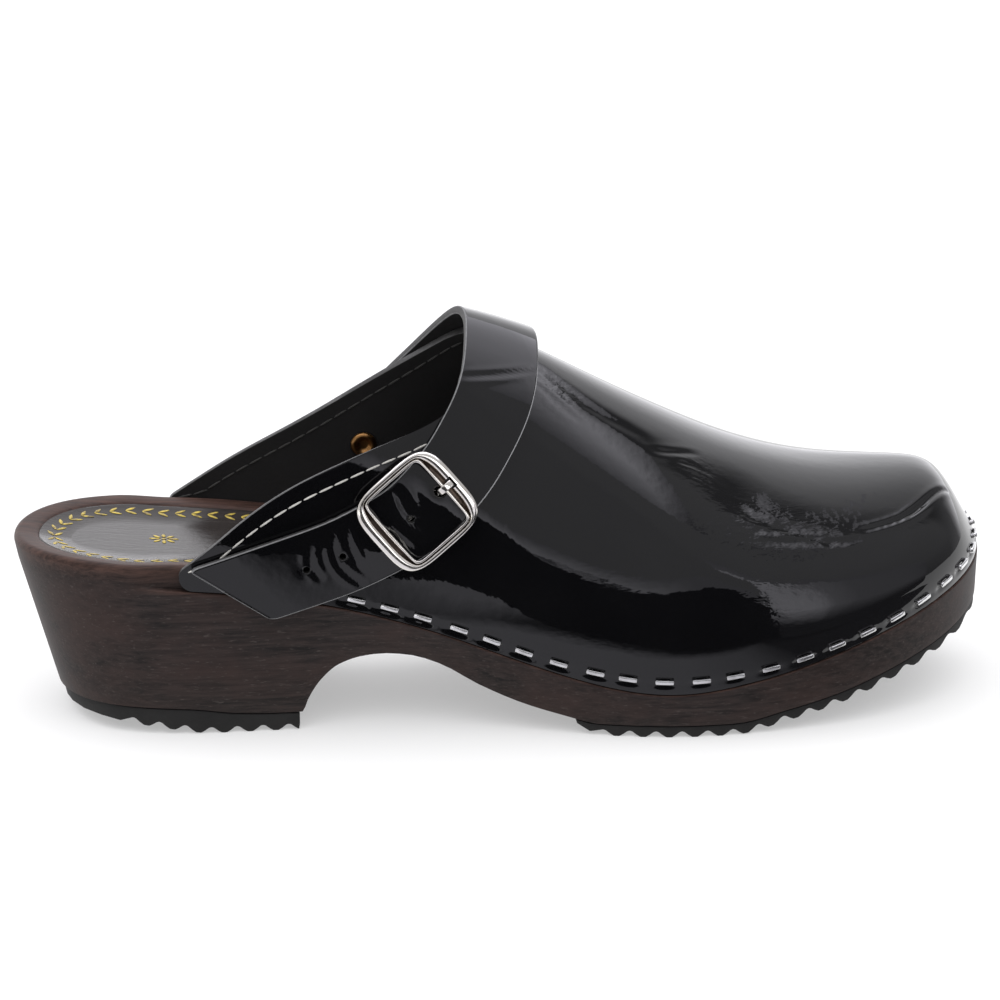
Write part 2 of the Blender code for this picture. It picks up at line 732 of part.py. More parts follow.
def buckle_matrix():
    """Axes of the flat frame in metres, from its middle: x along the strap, y to its front edge, z out."""
    raised = strap_matrix(BUCKLE_MIDDLE, BUCKLE_CLEAR + BUCKLE_THICKNESS / 2)
    return raised @ Matrix.Translation((0.0, -BUCKLE_REARWARD * MM, 0.0))


def in_frame(distance, height):
    """A point over the strap's middle line, in millimetres along the buckle frame's axes."""
    return buckle_matrix().inverted() @ place(*strap_point(distance, 0.0, height)) / MM


def frame_edge(angle, half_along, half_across, squareness):
    """The point of a rounded rectangle that lies in one direction from its middle."""
    direction = Vector((math.cos(angle), math.sin(angle)))
    reach = abs(direction.x / half_along) ** squareness + abs(direction.y / half_across) ** squareness
    return direction * reach ** (-1 / squareness)


def make_buckle_frame(finish):
    """A flat frame with straight inner edges and bulged ends; a slot beside the pivot bar takes the prong."""
    bm = bmesh.new()
    loops = []
    for i in range(BUCKLE_STEPS):
        angle = math.tau * i / BUCKLE_STEPS
        inner, outer = frame_edge(angle, *BUCKLE_INNER), frame_edge(angle, *BUCKLE_OUTER)
        loop = []
        for j in range(BUCKLE_BAR_SIDES):
            around = math.tau * (j + 0.5) / BUCKLE_BAR_SIDES
            spot = inner.lerp(outer, (1 + math.cos(around)) / 2)
            loop.append(bm.verts.new(Vector((*spot, BUCKLE_THICKNESS / 2 * math.sin(around))) * MM))
        loops.append(loop)
    for first, second in zip(loops, loops[1:] + loops[:1]):
        bridge(bm, first, second)
    bmesh.ops.recalc_face_normals(bm, faces=bm.faces)
    bmesh.ops.transform(bm, matrix=buckle_matrix(), verts=bm.verts)
    frame = add("buckle_frame", bm, finish)
    slot = bmesh.new()
    bmesh.ops.create_cube(slot, size=MM)
    size = Vector((PIVOT_SLOT, PRONG_WIDTH + 4 * GAP, 2 * BUCKLE_THICKNESS))
    bmesh.ops.scale(slot, vec=size, verts=slot.verts)
    beside_bar = PIVOT - BUCKLE_MIDDLE - (PIVOT_BAR + PIVOT_SLOT) / 2
    middle = Vector((beside_bar, in_frame(PRONG_HOLE, 0.0).y, 0.0)) * MM
    bmesh.ops.transform(slot, matrix=buckle_matrix() @ Matrix.Translation(middle), verts=slot.verts)
    cut(frame, add_cutter("slot_punch", slot))
    return frame


def make_buckle_prong(finish):
    """A strip that hooks over the pivot bar, dives through a hole of the strap and lies flat under it."""
    side = PIVOT_BAR / 2 + GAP + PRONG_LOOSE + PRONG_THICKNESS / 2
    top = BUCKLE_THICKNESS / 2 + GAP + PRONG_THICKNESS / 2
    under = -STRAP_THICKNESS - GAP - PRONG_THICKNESS / 2
    turns = [math.radians(degrees) for degrees in PRONG_HOOK_DEGREES]
    hook = [(PIVOT - BUCKLE_MIDDLE + side * math.cos(angle), top * math.sin(angle)) for angle in turns]
    dive = [(0.0, -STRAP_THICKNESS / 3), (GAP, -STRAP_THICKNESS), (4 * GAP, under)]
    flat = [(PRONG_REACH * share, under) for share in (0.3, 0.6, 1.0)]
    below = [in_frame(PRONG_HOLE + ahead, height) for ahead, height in dive + flat]
    route = hook + [(spot.x, spot.z) for spot in below]
    across = in_frame(PRONG_HOLE, 0.0).y
    bm = bmesh.new()
    loops = []
    for i, (along, height) in enumerate(route):
        before, after = route[max(i - 1, 0)], route[min(i + 1, len(route) - 1)]
        step = Vector((after[0] - before[0], after[1] - before[1])).normalized()
        normal = Vector((-step.y, step.x)) * PRONG_THICKNESS / 2
        loop = []
        for side_of, face in ((1, 1), (1, -1), (-1, -1), (-1, 1)):
            spot = (along + normal.x * face, across + side_of * PRONG_WIDTH / 2, height + normal.y * face)
            loop.append(bm.verts.new(Vector(spot) * MM))
        loops.append(loop)
    for first, second in zip(loops, loops[1:]):
        bridge(bm, first, second)
    bm.faces.new(loops[0])
    bm.faces.new(loops[-1])
    bmesh.ops.recalc_face_normals(bm, faces=bm.faces)
    bmesh.ops.transform(bm, matrix=buckle_matrix(), verts=bm.verts)
    return add("buckle_prong", bm, finish)


def staple_line():
    """(turn, girth) pairs at the staples' height, from the lateral side round the toe to the medial side. The
    line goes over the crest where the toe is just as tall as that height."""

    def share(u):
        low = SOLE["ledge"](u) + GAP
        return STAPLE_HEIGHT(station_at(u)) / max(UPPER["crest"](u) - low, GAP)

    toe = next(u for u in np.linspace(turn(STAPLE_TOE_FROM), 1.0, STAPLE_TOE_SAMPLES) if share(u) > 0.999)
    shares = np.linspace(0.0, 1.0, STAPLE_SAMPLES)
    lateral = [toe - (toe - turn(STAPLE_FIRST)) * (1 - t) ** 2 for t in shares]
    medial = [toe - (toe - turn(STAPLE_LAST)) * t**2 for t in shares]
    girths = [math.asin(min(share(u), 1.0)) / math.radians(90.0) for u in lateral + medial]
    sides = [LATERAL] * len(lateral) + [MEDIAL] * len(medial)
    return [
        (u, girth if side == LATERAL else 2 - girth)
        for u, girth, side in zip(lateral + medial, girths, sides)
    ]


def make_staples(finish):
    """The crowns of the staples, evenly spaced along their line, each lying on the leather."""
    line = staple_line()
    points = [upper_point(*spot) for spot in line]
    travelled, number = STAPLE_PITCH, 0
    for i in range(1, len(line) - 1):
        travelled += (points[i] - points[i - 1]).length
        if travelled < STAPLE_PITCH:
            continue
        travelled -= STAPLE_PITCH
        number += 1
        along = (points[i + 1] - points[i - 1]).normalized()
        across = upper_normal(*line[i]).cross(along).normalized()
        out = along.cross(across)
        spot = points[i] + out * (GAP + STAPLE_CROWN[2] / 2)
        turned = Matrix((along, across, out)).transposed().to_4x4()
        bm = bmesh.new()
        bmesh.ops.create_cube(bm, size=1.0)
        bmesh.ops.scale(bm, vec=Vector(STAPLE_CROWN) * MM, verts=bm.verts)
        bmesh.ops.transform(bm, matrix=Matrix.Translation(place(*spot)) @ turned, verts=bm.verts)
        add(f"staple_{number:02d}", bm, finish)


def main():
    for existing in list(bpy.data.objects):
        bpy.data.objects.remove(existing)
    wood = material("dark_stained_wood", (0.05, 0.028, 0.02), 0.5)
    rubber = material("black_rubber", (0.012, 0.012, 0.012), 0.75)
    leather = material("black_patent_leather", (0.008, 0.008, 0.009), 0.12)
    steel = material("bright_steel", (0.62, 0.62, 0.62), 0.3, 1.0)
    chrome = material("chrome", (0.75, 0.75, 0.77), 0.08, 1.0)
    brass = material("brass", (0.55, 0.36, 0.14), 0.35, 1.0)
    make_wooden_sole(wood)
    make_heel_lift(rubber)
    make_front_outsole(rubber)
    upper = make_upper(leather)
    strap = make_strap(leather)
    radii = [PRONG_HOLE_RADIUS] + [HOLE_RADIUS] * (HOLE_COUNT - 1)
    spots = [strap_matrix(PRONG_HOLE + k * HOLE_PITCH, 0.0) for k in range(HOLE_COUNT)]
    holes = [(spot, radius, STRAP_THICKNESS + 2 * PUNCH_OVERSHOOT) for spot, radius in zip(spots, radii)]
    through = PUNCH_OVERSHOOT - rivet_heights()[1] + RIVET_HEAD
    shank = (strap_matrix(rivet_distance(), 0.0), RIVET_SHANK + GAP, through)
    cut(strap, punch("strap_punch", holes + [shank]))
    cut(upper, punch("wall_punch", [shank]))
    make_rivet(brass)
    make_buckle_frame(chrome)
    make_buckle_prong(chrome)
    make_staples(steel)


main()
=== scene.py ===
"""Looks of a right-foot wooden clog: patent leather on a stained wood sole, with instep strap and buckle.

Sizes are in millimetres and MM turns them into metres. A station is a distance along the shoe from the
back of the heel, a turn the share of the way round the outline from heel to toe, and girth runs over the
upper from 0 at the outer (lateral) ledge over 1 at the crest to 2 at the inner (medial) ledge.
"""

import math
from functools import lru_cache

import bmesh
import bpy
import numpy as np
from mathutils import Matrix, Vector


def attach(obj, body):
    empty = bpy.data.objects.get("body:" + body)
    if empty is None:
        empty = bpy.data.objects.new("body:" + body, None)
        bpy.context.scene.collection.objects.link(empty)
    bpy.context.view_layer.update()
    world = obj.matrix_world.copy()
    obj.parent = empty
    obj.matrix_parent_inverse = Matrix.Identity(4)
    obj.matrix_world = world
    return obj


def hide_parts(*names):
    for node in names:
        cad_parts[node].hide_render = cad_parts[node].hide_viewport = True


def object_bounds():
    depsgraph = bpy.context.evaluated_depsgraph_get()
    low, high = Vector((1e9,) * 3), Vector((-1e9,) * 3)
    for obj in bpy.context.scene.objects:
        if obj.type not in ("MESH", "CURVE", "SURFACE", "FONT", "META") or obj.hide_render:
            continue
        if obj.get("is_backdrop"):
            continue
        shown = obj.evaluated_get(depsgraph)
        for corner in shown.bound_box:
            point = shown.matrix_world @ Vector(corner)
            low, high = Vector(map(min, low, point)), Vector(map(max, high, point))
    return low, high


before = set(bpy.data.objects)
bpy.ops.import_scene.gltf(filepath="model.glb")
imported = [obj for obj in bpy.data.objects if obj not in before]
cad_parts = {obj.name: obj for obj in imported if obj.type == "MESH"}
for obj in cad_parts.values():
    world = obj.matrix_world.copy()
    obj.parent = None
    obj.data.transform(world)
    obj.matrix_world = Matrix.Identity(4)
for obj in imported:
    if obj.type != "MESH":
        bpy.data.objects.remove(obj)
CAD_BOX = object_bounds()

MM = 0.001
LENGTH = 256.8
GAP = 0.3
LEATHER = 2.0
LATERAL, MEDIAL = -1, 1
MIDDLE_LINE = 1.56
QUARTER_TURN = math.radians(90.0)
LINE_SAMPLES = 500

# Camera: the photo's angle, and how many of its pixels a millimetre takes at the shoe
CAMERA_TARGET = Vector((-0.00047, -0.00156, 0.051936))
CAMERA_AZIMUTH, CAMERA_ELEVATION, CAMERA_DISTANCE = -5.935, 17.379, 1.25
PIXELS_PER_MM, PHOTO_PIXELS, SENSOR, CAMERA_CLIP_END = 3.797, 1000, 36.0, 50.0

# Sole: outline at the leather's ledge, heights of ledge and rim, tuck of the bottom edge, and how far the rim
# leans back under the toe
SOLE_COLUMNS = ("station", "lateral", "medial", "ledge", "rim", "tuck", "rim_back")
SOLE_ROWS = (
    (0, 0.0, 0.0, 41.6, 47.6, 3.6, 0.0),
    (15, -26.2, 27.2, 41.4, 47.7, 3.9, 0.0),
    (40, -32.8, 34.0, 40.3, 46.4, 4.0, 0.0),
    (75, -32.0, 32.0, 35.8, 43.4, 3.6, 0.0),
    (110, -33.6, 32.0, 26.2, 35.6, 2.6, 0.0),
    (150, -42.6, 40.5, 13.9, 23.6, 1.6, 0.0),
    (168, -45.9, 45.8, 11.9, 21.4, 1.4, 0.0),
    (185, -45.6, 48.8, 13.6, 22.6, 1.4, 0.0),
    (215, -40.6, 46.0, 21.2, 29.8, 1.4, 0.0),
    (240, -28.0, 34.0, 29.6, 37.4, 0.9, 1.4),
    (LENGTH, 8.0, 8.0, 36.2, 41.8, 0.3, 4.8),
)
WOOD_UNDERSIDE = (
    (0, 7.7), (28, 7.4), (44, 6.9), (57, 5.4), (66, 5.0), (73.4, 5.0), (75.2, 8.9), (78.3, 13.6),
    (83, 17.7), (89, 19.8), (95, 20.5), (101, 20.1), (109, 17.8), (119, 12.4), (130, 7.9), (140, 5.2),
    (150, 3.2), (184, 3.2), (199, 6.0), (213, 9.2), (224, 12.6), (236, 16.6), (249, 21.0), (LENGTH, 24.2),
)
HEEL_TAPER, HEEL_TAPER_ENDS, HEEL_RIM = 9.8, 70.0, 47.6
RABBET_DEPTH, RABBET_STARTS, RABBET_FULL, RUN_OUT_STEP = LEATHER + 0.6, 27.0, 42.0, 1.2
SOLE_STEPS = 120
BREAST_FROM, BREAST_TO, BREAST_STEP = 71.5, 92.0, 0.7
WALL_ROWS, SPINE_ROWS, LEDGE_LINE = 6, 4, 0.955
FOOTBED_ROWS = ((0.0, 1.2), (1.2, 0.0), (4.5, 0.3), (9.0, 1.6), (15.0, 2.6))
FOOTBED_INSETS = (0.0, 1.2, 2.4, 3.6, 4.8, 5.6, 6.1, 6.3, 6.5, 6.7, 6.9, 7.4, 8.4, 10.0, 12.0, 15.0)
SEAT_LINE, SEAT_LINE_WIDTH, SEAT_LINE_DEPTH = 6.5, 0.25, 0.35
WOOD_ROUNDING = {"bottom": 0.9, "ledge": 0.4, "rim": 0.7}
WOOD_CORNER_STEPS, WOOD_SHARP_DEG, WOOD_SMOOTH_DEG = 3, 18.0, 40.0
TREAD_ROUNDING, TREAD_CORNER_STEPS, TREAD_SHARP_DEG = 0.35, 2, 20.0
TREAD_FLAT_DEG, TREAD_SMOOTH_DEG = 0.5, 30.0

# Upper: height and sideways place of the crest, squareness of the section, belly of the wall over the ledge
UPPER_COLUMNS = ("station", "crest", "ridge", "squareness", "belly")
UPPER_ROWS = (
    (40, 129.0, 0.0, 2.0, 0.0),
    (72, 121.0, 0.0, 2.0, 1.0),
    (100, 110.2, 1.0, 2.0, 4.0),
    (121, 100.2, 2.0, 2.0, 7.0),
    (139, 91.4, 3.0, 2.0, 9.0),
    (155, 82.7, 4.0, 2.05, 11.0),
    (171, 74.4, 5.0, 2.1, 13.0),
    (187, 66.9, 6.0, 2.15, 13.0),
    (209, 59.9, 7.0, 2.3, 12.0),
    (226, 57.8, 8.0, 2.4, 10.0),
    (237, 57.4, 8.0, 2.4, 8.0),
    (246, 54.6, 8.0, 2.4, 5.0),
    (252, 45.8, 8.0, 2.3, 2.0),
    (LENGTH, 36.7, 8.0, 2.2, 0.0),
)
UPPER_INSET, UPPER_STARTS, THROAT = 0.3, 42.0, 126.0
REAR_ROUND_LOW, REAR_ROUND_HIGH, REAR_STEPS = 3.4, 1.2, 10
TOE_TURN_STARTS, BELLY_POWER = 0.9, 5
QUARTER_STEPS, VAMP_STEPS, QUARTER_CROWDING = 70, 146, 1.3
LATERAL_STEPS, MEDIAL_STEPS, GIRTH_CROWDING = 122, 62, 1.2
UPPER_CORNER, LEATHER_CORNER_STEPS, LEATHER_SHARP_DEG = 0.4, 2, 50.0

# A leather piece's finishes after that of its face, by number; the corners' paler finish is a painted
# highlight
BACK, CUT_EDGE, CORNER_HIGHLIGHT = 1, 2, 3

# Collar: station, and height of its edge on the lateral and the medial side
COLLAR_ROWS = (
    (42, 45.4, 45.6),
    (50, 51.2, 50.8),
    (58, 57.6, 56.0),
    (72, 66.5, 64.2),
    (82, 71.0, 70.2),
    (93, 75.4, 77.4),
    (104, 79.4, 84.8),
    (112, 83.2, 90.6),
    (119, 89.0, 95.6),
)

# Creases of the upper: points (station, girth), width and depth of the trough. A low ridge lies at each side
CREASES = (
    (((137, 0.835), (145, 0.785), (153, 0.757), (160, 0.748), (167, 0.725)), 1.8, 0.16),
    (((135, 0.80), (140, 0.765), (146, 0.735)), 0.7, 0.16),
    (((134, 0.76), (139, 0.735), (144, 0.705)), 0.7, 0.14),
    (((137, 0.73), (142, 0.70), (147, 0.68)), 0.8, 0.10),
    (((166, 0.70), (172, 0.735), (178, 0.775)), 0.9, 0.30),
    (((172, 0.70), (176, 0.705), (180, 0.70)), 0.7, 0.16),
    (((174, 0.67), (178, 0.665), (182, 0.65)), 0.8, 0.16),
    (((186, 0.60), (193, 0.555), (202, 0.545), (212, 0.515)), 1.2, 0.22),
    (((184, 0.53), (191, 0.515), (199, 0.525), (207, 0.505)), 1.1, 0.20),
    (((187, 0.49), (195, 0.485), (204, 0.49), (213, 0.475)), 1.2, 0.18),
    (((194, 0.54), (203, 0.52), (211, 0.49), (218, 0.485)), 1.0, 0.18),
    (((220, 0.53), (230, 0.55), (236, 0.59), (240, 0.645), (246, 0.74)), 0.75, 0.42),
    (((233, 0.565), (239, 0.63), (247, 0.76)), 1.0, 0.32),
)
CREASE_SAMPLES, CREASE_RIDGE, CREASE_RIDGE_AT = 28, 0.45, 1.9

# Soft hollows and swells of the upper: station, girth, radius, height
SWELLS = (
    (187, 0.66, 9.0, -0.5),
    (190, 0.24, 9.0, 0.5),
    (184, 0.26, 5.0, -0.15),
    (232, 0.30, 10.0, 0.3),
)

# Fine wrinkles of the upper: station, girth, radius, strength
WRINKLED = (
    (141, 0.75, 7.0, 0.6),
    (178, 0.69, 6.0, 0.8),
    (184, 0.535, 8.0, 0.65),
    (197, 0.51, 10.0, 0.7),
    (211, 0.487, 8.0, 0.55),
    (190, 0.25, 5.0, 1.0),
    (197, 0.27, 8.0, 0.4),
    (152, 0.21, 14.0, 0.25),
    (232, 0.55, 5.0, 0.4),
)

# Staples: where their line starts and ends, its height over the ledge, and the dent that each presses
STAPLE_FIRST, STAPLE_LAST, STAPLE_PITCH = 86.6, 50.0, 9.25
STAPLE_LINE = ((0, 3.0), (135, 3.1), (152, 3.6), (169, 3.9), (185, 3.4), (200, 3.0), (222, 3.0), (246, 4.4),
               (LENGTH, 5.0))
STAPLE_CROWN = (4.8, 1.2, 0.8)
STAPLE_LEG, STAPLE_BOW, STAPLE_CUTS = 1.3, 0.12, 4
STAPLE_ROUNDING, STAPLE_CORNER_STEPS, STAPLE_SHARP_DEG = 0.25, 2, 50.0
STAPLE_TOE_FROM, STAPLE_TOE_SAMPLES, STAPLE_TOE_SHARE = 240, 2000, 0.999
DENT_LONG, DENT_WIDE, DENT_DEPTH, DENT_SHIFT = 3.3, 1.0, 0.6, -1.15

# Instep strap, from its medial end over the instep to the tail
STRAP_WIDTH, STRAP_THICKNESS, STRAP_CROWN = 20.0, 2.2, 0.25
STRAP_COLUMNS = ("station", "girth", "lift", "tip_deg")
STRAP_ROWS = (
    (88.0, 1.826, 0.6, 0.0),
    (94.0, 1.768, 0.6, 0.0),
    (100.8, 1.694, 0.8, 0.0),
    (107.6, 1.602, 1.0, 0.0),
    (114.4, 1.488, 1.1, 0.0),
    (120.4, 1.345, 1.2, 3.0),
    (124.6, 1.175, 1.2, 6.0),
    (126.6, 1.0, 1.2, 6.5),
    (126.4, 0.83, 1.2, 4.5),
    (125.0, 0.675, 1.2, 1.5),
    (122.4, 0.567, 1.2, 0.0),
    (118.5, 0.47, 1.4, 0.0),
    (114.3, 0.389, 1.8, 0.0),
    (109.3, 0.318, 2.1, 0.0),
    (101.4, 0.231, 2.1, 0.0),
    (93.6, 0.172, 1.7, 0.0),
    (84.4, 0.116, 1.1, 0.0),
    (74.5, 0.071, 0.9, 0.0),
    (64.5, 0.034, 0.9, 0.0),
    (54.8, 0.002, 0.9, 0.0),
    (44.0, -0.03, 0.9, 0.0),
)
RIVET_ROW, PRONG_ROW, TAIL_END_ROW = 1, 13, 19
STRAP_END_ROUND, STRAP_END_HALF = 9.0, 0.3
TAIL_SLANT, TAIL_SLANT_LENGTH, TAIL_CORNER = 0.8, 34.0, 2.5
STRAP_END_STEPS, STRAP_TAIL_STEPS, STRAP_END_CROWDING = 6, 4, 1.5
STRAP_STEPS, STRAP_ACROSS, STRAP_CORNER = 300, 30, 0.28
HOLE_COUNT, HOLE_PITCH, HOLE_RADIUS, PRONG_HOLE_RADIUS, HOLE_SIDES = 5, 10.0, 0.9, 1.6, 24
PUNCH_OVERSHOOT = 1.0

# Creases of the strap: points (distance from the prong's hole, sideways place), width and depth
STRAP_CREASES = (
    (((-37.0, -9.5), (-33.4, 0.0), (-29.8, 9.5)), 0.8, 0.32),
    (((29.0, 8.5), (31.6, 2.0), (31.4, -3.5), (28.4, -8.5)), 0.8, 0.30),
    (((25.0, 9.0), (27.0, 3.0), (27.2, -3.0)), 0.8, 0.20),
    (((36.5, 4.5), (38.5, 0.5), (38.0, -3.0)), 0.9, 0.20),
    (((7.0, -8.0), (9.5, 0.0), (7.5, 8.0)), 1.2, 0.22),
    (((13.5, -7.5), (16.0, 0.5), (13.5, 7.5)), 1.1, 0.20),
)
STRAP_HOLE_DENT, STRAP_HOLE_DENT_RADIUS = 0.2, 1.9
STRAP_WRINKLE_GAIN, STRAP_WRINKLE_MOST = 2.0, 0.5

# Where the strap's front edge is painted pale as a highlight: distances from the prong's hole over which that
# comes and goes
EDGE_HIGHLIGHT_FROM, EDGE_HIGHLIGHT_TO = (-42.0, -34.0), (-4.0, 4.0)

# Buckle: half sizes along and across the strap and squareness of the frame's inner and outer edges
BUCKLE_INNER, BUCKLE_OUTER = (8.7, 10.1, 12.0), (13.5, 12.45, 4.1)
BUCKLE_THICKNESS, BUCKLE_REARWARD, BUCKLE_CLEAR = 1.7, 0.65, 0.6
BUCKLE_AROUND, METAL_SMOOTH_DEG = 144, 50.0
BUCKLE_WIRE, BUCKLE_BAND, BUCKLE_LEAST_GROOVE, BUCKLE_GROOVE = 1.0, 0.56, 0.1, (6, 7, 8)
BUCKLE_SECTION = (
    ("wire", 0.0, -0.3), ("wire", 0.04, 0.4), ("wire", 0.18, 0.85), ("wire", 0.45, 1.0), ("wire", 0.75, 0.95),
    ("wire", 0.95, 0.65), ("wire", 1.0, 0.2), ("groove", 0.5, -0.2), ("band", 0.0, 0.2), ("band", 0.05, 0.62),
    ("band", 0.18, 0.9), ("band", 0.42, 1.0), ("band", 0.7, 0.92), ("band", 0.92, 0.5), ("band", 1.0, -0.1),
    ("band", 0.9, -0.8), ("band", 0.5, -1.0), ("wire", 0.6, -1.0), ("wire", 0.1, -0.8),
)
PIVOT_BAR, PIVOT_SLOT = 1.8, 1.8
PRONG_FROM_BAR, PRONG_LOOSE, PRONG_WIDTH, PRONG_THICKNESS, PRONG_REACH = 2.2, 0.4, 1.8, 0.8, 11.0
PRONG_ROUNDING, PRONG_CORNER_STEPS, PRONG_SHARP_DEG = 0.25, 3, 60.0
PRONG_HOOK_DEGREES, PRONG_FLAT_SHARES = range(180, -1, -15), (0.3, 0.6, 1.0)

# Rivet: radii and heights of its rolled cap, and of the hollow in its middle
RIVET_SHANK, RIVET_CAP, RIVET_HEAD, RIVET_SIDES = 1.5, 3.5, 1.2, 40
RIVET_PROFILE = (
    (0.0, 0.15), (0.34, 0.12), (0.47, 0.35), (0.56, 0.8), (0.70, 1.0), (0.85, 0.86), (0.96, 0.5), (1.0, 0.2),
)

# Stitches along the collar: how far below the edge, pitch, length and thread
STITCH_BELOW, STITCH_PITCH, STITCH_LENGTH, STITCH_THREAD = 4.6, 4.4, 4.0, 0.55
STITCH_STARTS, STITCH_FULL, STITCH_NEAR_EDGE, STITCH_LAST_STATION = 44.0, 53.0, 0.3, 121.0
STITCH_FLATNESS, STITCH_BLUNTNESS, STITCH_HEIGHT = 2.6, 0.6, 0.05

# Painted border of the heel seat: strokes, how far inside the rim, and a rosette in the middle
LEAF_INSET, LEAF_SIZE, LEAF_SLANT_DEG, LEAF_STEP = 10.6, (3.4, 1.0), 34.0, 4.4
LEAF_LAST_STATION, LEAF_SIDES, LEAF_POINT = 66.0, 16, 0.45
ROSETTE_STATION, ROSETTE_PETALS, ROSETTE_EYE = 38.0, 8, 1.2
PETAL_MIDDLE, PETAL_SIZE = 2.52, (2.7, 1.1)
PAINT_THICKNESS = 0.05


def spline(points):
    """A smooth function through points, with natural ends."""
    xs, ys = np.array(points, dtype=float).T
    steps = np.diff(xs)
    system = np.eye(len(xs))
    bends = np.zeros(len(xs))
    for i in range(1, len(xs) - 1):
        system[i, i - 1 : i + 2] = steps[i - 1], 2 * (steps[i - 1] + steps[i]), steps[i]
        bends[i] = 6 * ((ys[i + 1] - ys[i]) / steps[i] - (ys[i] - ys[i - 1]) / steps[i - 1])
    curvature = np.linalg.solve(system, bends)

    @lru_cache(maxsize=None)
    def at(x):
        i = int(np.clip(np.searchsorted(xs, x) - 1, 0, len(steps) - 1))
        before, after, step = xs[i + 1] - x, x - xs[i], steps[i]
        value = (curvature[i] * before**3 + curvature[i + 1] * after**3) / (6 * step)
        value += (ys[i] / step - curvature[i] * step / 6) * before
        value += (ys[i + 1] / step - curvature[i + 1] * step / 6) * after
        return float(value)

    return at


def steady(points):
    """A function through points that doesn't swing past them, for lines with flats and corners."""
    xs, ys = np.array(points, dtype=float).T
    steps = np.diff(xs)
    slopes = np.diff(ys) / steps
    ends = np.zeros(len(xs))
    for i in range(1, len(xs) - 1):
        if slopes[i - 1] * slopes[i] > 0:
            ends[i] = 2 * slopes[i - 1] * slopes[i] / (slopes[i - 1] + slopes[i])
    ends[0], ends[-1] = slopes[0], slopes[-1]

    def at(x):
        i = int(np.clip(np.searchsorted(xs, x) - 1, 0, len(steps) - 1))
        t = min(max((x - xs[i]) / steps[i], 0.0), 1.0)
        rise = ys[i] * (1 + 2 * t) * (1 - t) ** 2 + ys[i + 1] * t * t * (3 - 2 * t)
        return float(rise + steps[i] * (ends[i] * t * (1 - t) ** 2 - ends[i + 1] * t * t * (1 - t)))

    return at


def turn(station):
    return math.acos(1 - 2 * station / LENGTH) / math.pi


def station_at(u):
    return LENGTH * (1 - math.cos(math.pi * u)) / 2


def columns(rows, names):
    """One smooth function of the turn for each column after the station."""
    return {
        name: spline([(turn(row[0]), row[i]) for row in rows])
        for i, name in enumerate(names)
        if name != "station"
    }


SOLE = columns(SOLE_ROWS, SOLE_COLUMNS)
UPPER = columns(UPPER_ROWS, UPPER_COLUMNS)
WOOD_BOTTOM = steady(WOOD_UNDERSIDE)
STAPLE_HEIGHT = steady(STAPLE_LINE)
COLLAR = {
    side: spline([(row[0], row[i]) for row in COLLAR_ROWS] + [(THROAT, UPPER["crest"](turn(THROAT)))])
    for i, side in ((1, LATERAL), (2, MEDIAL))
}


def ramp(value, start, end):
    t = min(max((value - start) / (end - start), 0.0), 1.0)
    return t * t * (3 - 2 * t)


def outline(u, side):
    return np.array((station_at(u), SOLE["lateral" if side == LATERAL else "medial"](u)))


@lru_cache(maxsize=None)
def inward(u, side):
    """Direction in plan that points into the shoe from its outline."""
    small = 1e-4
    along = outline(u + small, side) - outline(u - small, side)
    along /= np.linalg.norm(along)
    return np.array((along[1], -along[0])) * side


@lru_cache(maxsize=None)
def edge(u, side, inset):
    """Plan point (station, sideways) that lies inset inside the outline."""
    return outline(u, side) + inset * inward(u, side)


def lean(station, height):
    """The heel's back slopes forward towards the floor."""
    fade = max(0.0, 1 - station / HEEL_TAPER_ENDS) ** 2
    return station + HEEL_TAPER * (1 - height / HEEL_RIM) * fade


def place(station, sideways, height):
    """A point of the shoe in metres, from the floor below the middle of its length and of its width."""
    return Vector((station - LENGTH / 2, sideways - MIDDLE_LINE, height)) * MM


def axes_at(spot, along, across, out):
    """A matrix with three directions as its axes, at a spot in metres."""
    return Matrix.Translation(spot) @ Matrix((along, across, out)).transposed().to_4x4()


def paced(points, pitch, travelled):
    """At each pitch along a line of points: the point's number, and the line's direction there."""
    for i in range(1, len(points) - 1):
        travelled += (points[i] - points[i - 1]).length
        if travelled >= pitch:
            travelled -= pitch
            yield i, (points[i + 1] - points[i - 1]).normalized()


def leather_foot(u):
    """Height of the upper's lower edge, just over the ledge."""
    return SOLE["ledge"](u) + GAP


def girth_of(share):
    """Girth where the upper has risen by a share of the way from its lower edge to its crest."""
    return math.asin(min(share, 1.0)) / QUARTER_TURN


def over(girth, side):
    """Girth from the lateral ledge, for one that is counted from the ledge of a side."""
    return girth if side == LATERAL else 2 - girth


def upper_point(u, girth):
    """A point of the upper's outer face in millimetres."""
    side = LATERAL if girth <= 1 else MEDIAL
    angle = QUARTER_TURN * over(girth, side)
    base = edge(u, side, UPPER_INSET)
    tip = ramp(u, TOE_TURN_STARTS, 1.0)
    station = station_at(u) * (1 - tip) + base[0] * tip
    crest = np.array((station, UPPER["ridge"](u)))
    low = leather_foot(u)
    level = max(math.cos(angle), 0.0)
    belly = UPPER["belly"](u) * math.sin(angle) * level**BELLY_POWER
    plan = crest + (base - crest) * level ** (2 / UPPER["squareness"](u)) - belly * inward(u, side)
    return Vector((plan[0], plan[1], low + (UPPER["crest"](u) - low) * math.sin(angle)))


def upper_normal(u, girth):
    """Outward direction of the upper's face."""
    small = 1e-3
    along = upper_point(u + small, girth) - upper_point(u - small, girth)
    around = upper_point(u, girth + small) - upper_point(u, girth - small)
    return along.cross(around).normalized()


def collar_girth(u, side):
    """Girth from the ledge up to the collar's edge; past the throat the section closes at the crest."""
    station, nearly = station_at(u), 0.001
    if station > THROAT - nearly:
        return 1.0
    low = leather_foot(u)
    top = COLLAR[side](station) - rear_cut(station, REAR_ROUND_HIGH)
    return girth_of((top - low) / (UPPER["crest"](u) - low))


